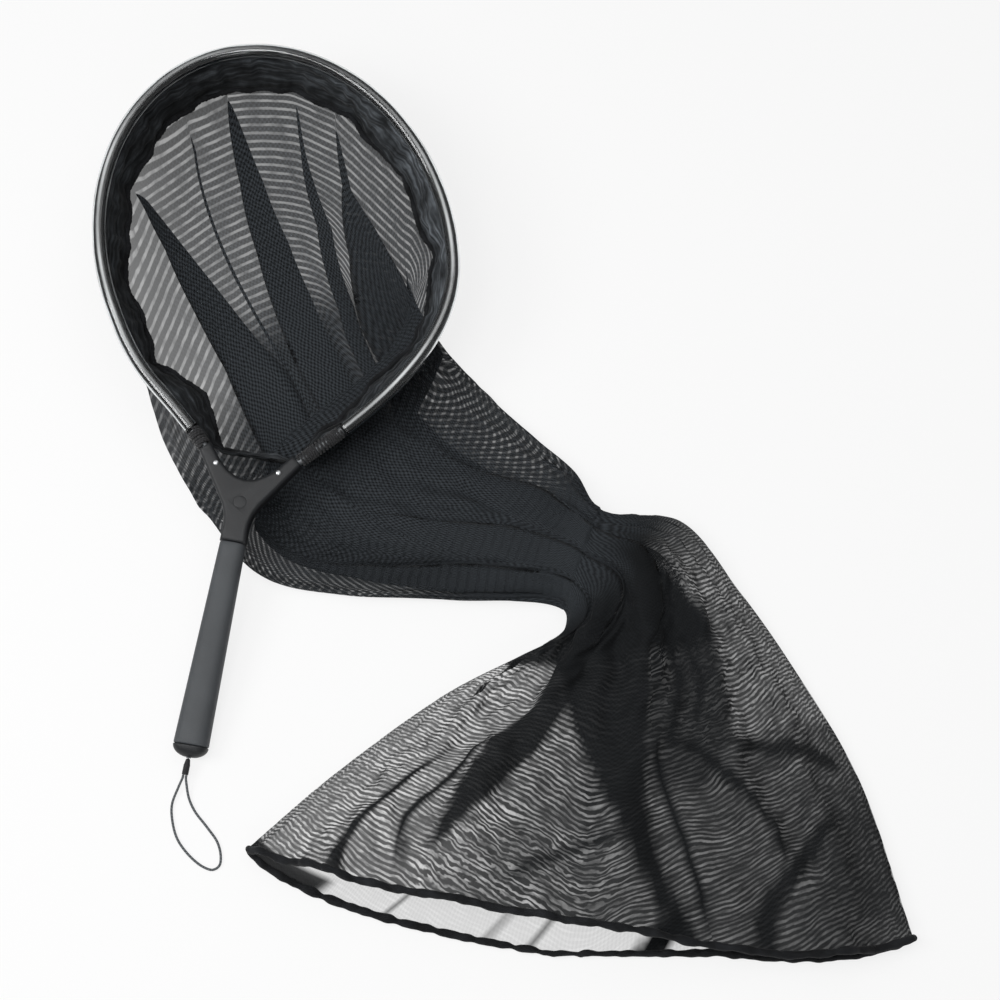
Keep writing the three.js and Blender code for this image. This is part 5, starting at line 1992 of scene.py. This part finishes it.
    def end_hem(self, edge: Array, out: Array) -> bpy.types.Object:
        """The rolled hem round the open end.

        Args:
            edge: The sock's last round.
            out: The way that each of its lines ends.

        Returns:
            The hem.
        """
        loop = resampled(closed(edge), self.hem_points)
        out = unit(resampled(closed(out), self.hem_points))
        run = lengths_along(loop)
        ribs = self.hem_ribs(run)
        ribs[-1] = ribs[0]
        size = self.hem_radius * (self.hem_mean + ribs)
        line = loop + out * self.hem_radius * self.hem_out
        line[:, 2] = np.maximum(line[:, 2], size)
        side = unit(np.cross(heading(line, loop=True), out))
        angle = np.linspace(0, TURN, self.hem_sides + 1)
        rows = line[:, None] + spokes(out, side, angle) * size[:, None, None]
        rows[..., 2] = np.maximum(rows[..., 2], 0.0)
        rows[:, -1], rows[-1] = rows[:, 0], rows[0]
        grid = (rows, cloth_uv(angle * self.hem_radius, run))
        piece = grid_piece("rolled_end", grid, wraps=True, loops=True)
        return dress(piece, CLOTH, Body.NET, "end_hem")


# Wrist loop


@dataclass(frozen=True)
class WristLoop:
    """The cord loop, its bound start and the knot inside the cap."""

    placement: Matrix
    shift: Array
    radius: float = 0.00125
    strand_offset: float = 0.0016
    neck_radius: float = 0.0024
    neck_dome: tuple[float, float, int] = (15, 90, 5)  # degrees from its tip to its rim, and number of rings
    whipping_radius: float = 0.0034
    whipping_start: float = 0.004
    whipping_length: float = 0.010
    wraps: int = 9
    wrap_points: int = 4
    wrap_swell: float = 0.0003
    knot_radius: float = 0.0044
    knot_seat: float = 0.0167
    knot_stem: float = 0.0025
    knot_lumps: float = 0.05  # how deep they are, as a share of its radius
    knot_lobes: int = 5
    knot_rings: int = 16
    knot_end: float = 0.97  # share of a half turn at which its last ring lies
    turn_steps: int = 24
    curve_points: int = 600
    cord_points: int = 220
    cord_sides: int = 12
    route: tuple[tuple[float, float, float], ...] = (
        (-0.319, -0.309, 0.005), (-0.325, -0.326, 0.0018), (-0.324, -0.341, 0.0015),
        (-0.318, -0.360, 0.0015), (-0.306, -0.376, 0.0015), (-0.291, -0.388, 0.0015),
        (-0.281, -0.391, 0.0015), (-0.275, -0.387, 0.0015), (-0.274, -0.378, 0.0015),
        (-0.278, -0.364, 0.0015), (-0.289, -0.349, 0.0015), (-0.302, -0.333, 0.0015),
        (-0.3085, -0.320, 0.0024), (-0.311, -0.308, 0.0055),
    )

    def build(self) -> None:
        end = PIVOT_OUT + self.whipping_start + self.whipping_length + SEAT
        ends = np.array([(self.strand_offset, -end - 2 * self.radius, 0.0), (self.strand_offset, -end, 0.0)])
        mirrored = ends[::-1] * np.array([-1.0, 1.0, 1.0])
        points = np.vstack([moved(self.placement, mirrored), np.array(self.route) + self.shift,
                            moved(self.placement, ends)])
        line = resampled(through(points, np.linspace(0, 1, self.curve_points)), self.cord_points)
        tube = tube_rows(line, self.radius, self.cord_sides)
        piece = grid_piece("wrist_cord", tube, wraps=True, capped=True)
        dress(piece, CORD, Body.LOOP, "lanyard_cord")
        whipping = self.whipping()
        self.knot()

    def turned(self, name: str, profile: Sequence[Span]) -> bpy.types.Object:
        """Turns a profile about the handle's axis."""
        return spun(name, profile, (0, 1, 0), self.turn_steps, self.placement)

    def whipping(self) -> bpy.types.Object:
        """Thread bound round both strands where they leave the cap.

        Returns:
            The piece.
        """
        start, end = self.whipping_start, self.whipping_start + self.whipping_length
        profile = [(0.0, self.neck_radius - PIVOT_OUT)]
        for turn in np.radians(np.linspace(*self.neck_dome)):
            profile.append((self.neck_radius * math.sin(turn), self.neck_radius * math.cos(turn) - PIVOT_OUT))
        steps = self.wraps * self.wrap_points
        for k in range(steps + 1):
            y = start + (end - start) * k / steps
            swell = self.wrap_swell * math.sin(math.pi * k / self.wrap_points) ** 2
            profile.append((self.whipping_radius - self.wrap_swell + swell, -y - PIVOT_OUT))
        profile.append((0.0, -end - PIVOT_OUT))
        return dress(self.turned("whipping", profile), LASHING_CORD, Body.LOOP, "lanyard_whipping")

    def knot(self) -> None:
        """The stopper knot, lumpy, with its stem in the outlet."""
        neck = self.neck_radius - PIVOT_OUT + SEAT
        profile = [(0.0, neck), (self.knot_stem, neck)]
        first = math.asin(self.knot_stem / self.knot_radius)
        for turn in np.linspace(first, math.pi * self.knot_end, self.knot_rings):
            radius = self.knot_radius * (1 - self.knot_lumps * math.sin(self.knot_lobes * turn) ** 2)
            profile.append((radius * math.sin(turn), self.knot_seat - radius * math.cos(turn)))
        profile.append((0.0, self.knot_seat + self.knot_radius))
        dress(self.turned("stopper_knot", profile), CORD, Body.NET, "lanyard_knot")


def main() -> None:
    """Builds the scene in order and writes how large the dressed part is."""
    logging.basicConfig(level=logging.INFO, format="%(name)s: %(message)s")
    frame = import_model()
    placement, shift = Lie().place(frame["joints"][0]["pos_m"])
    Studio().build(shift)
    WristLoop(placement, shift).build()
    Handle(placement).build()
    hoop = Hoop(placement)
    hoop.build()
    Sock(hoop, shift).build()


if __name__ == "__main__":
    main()
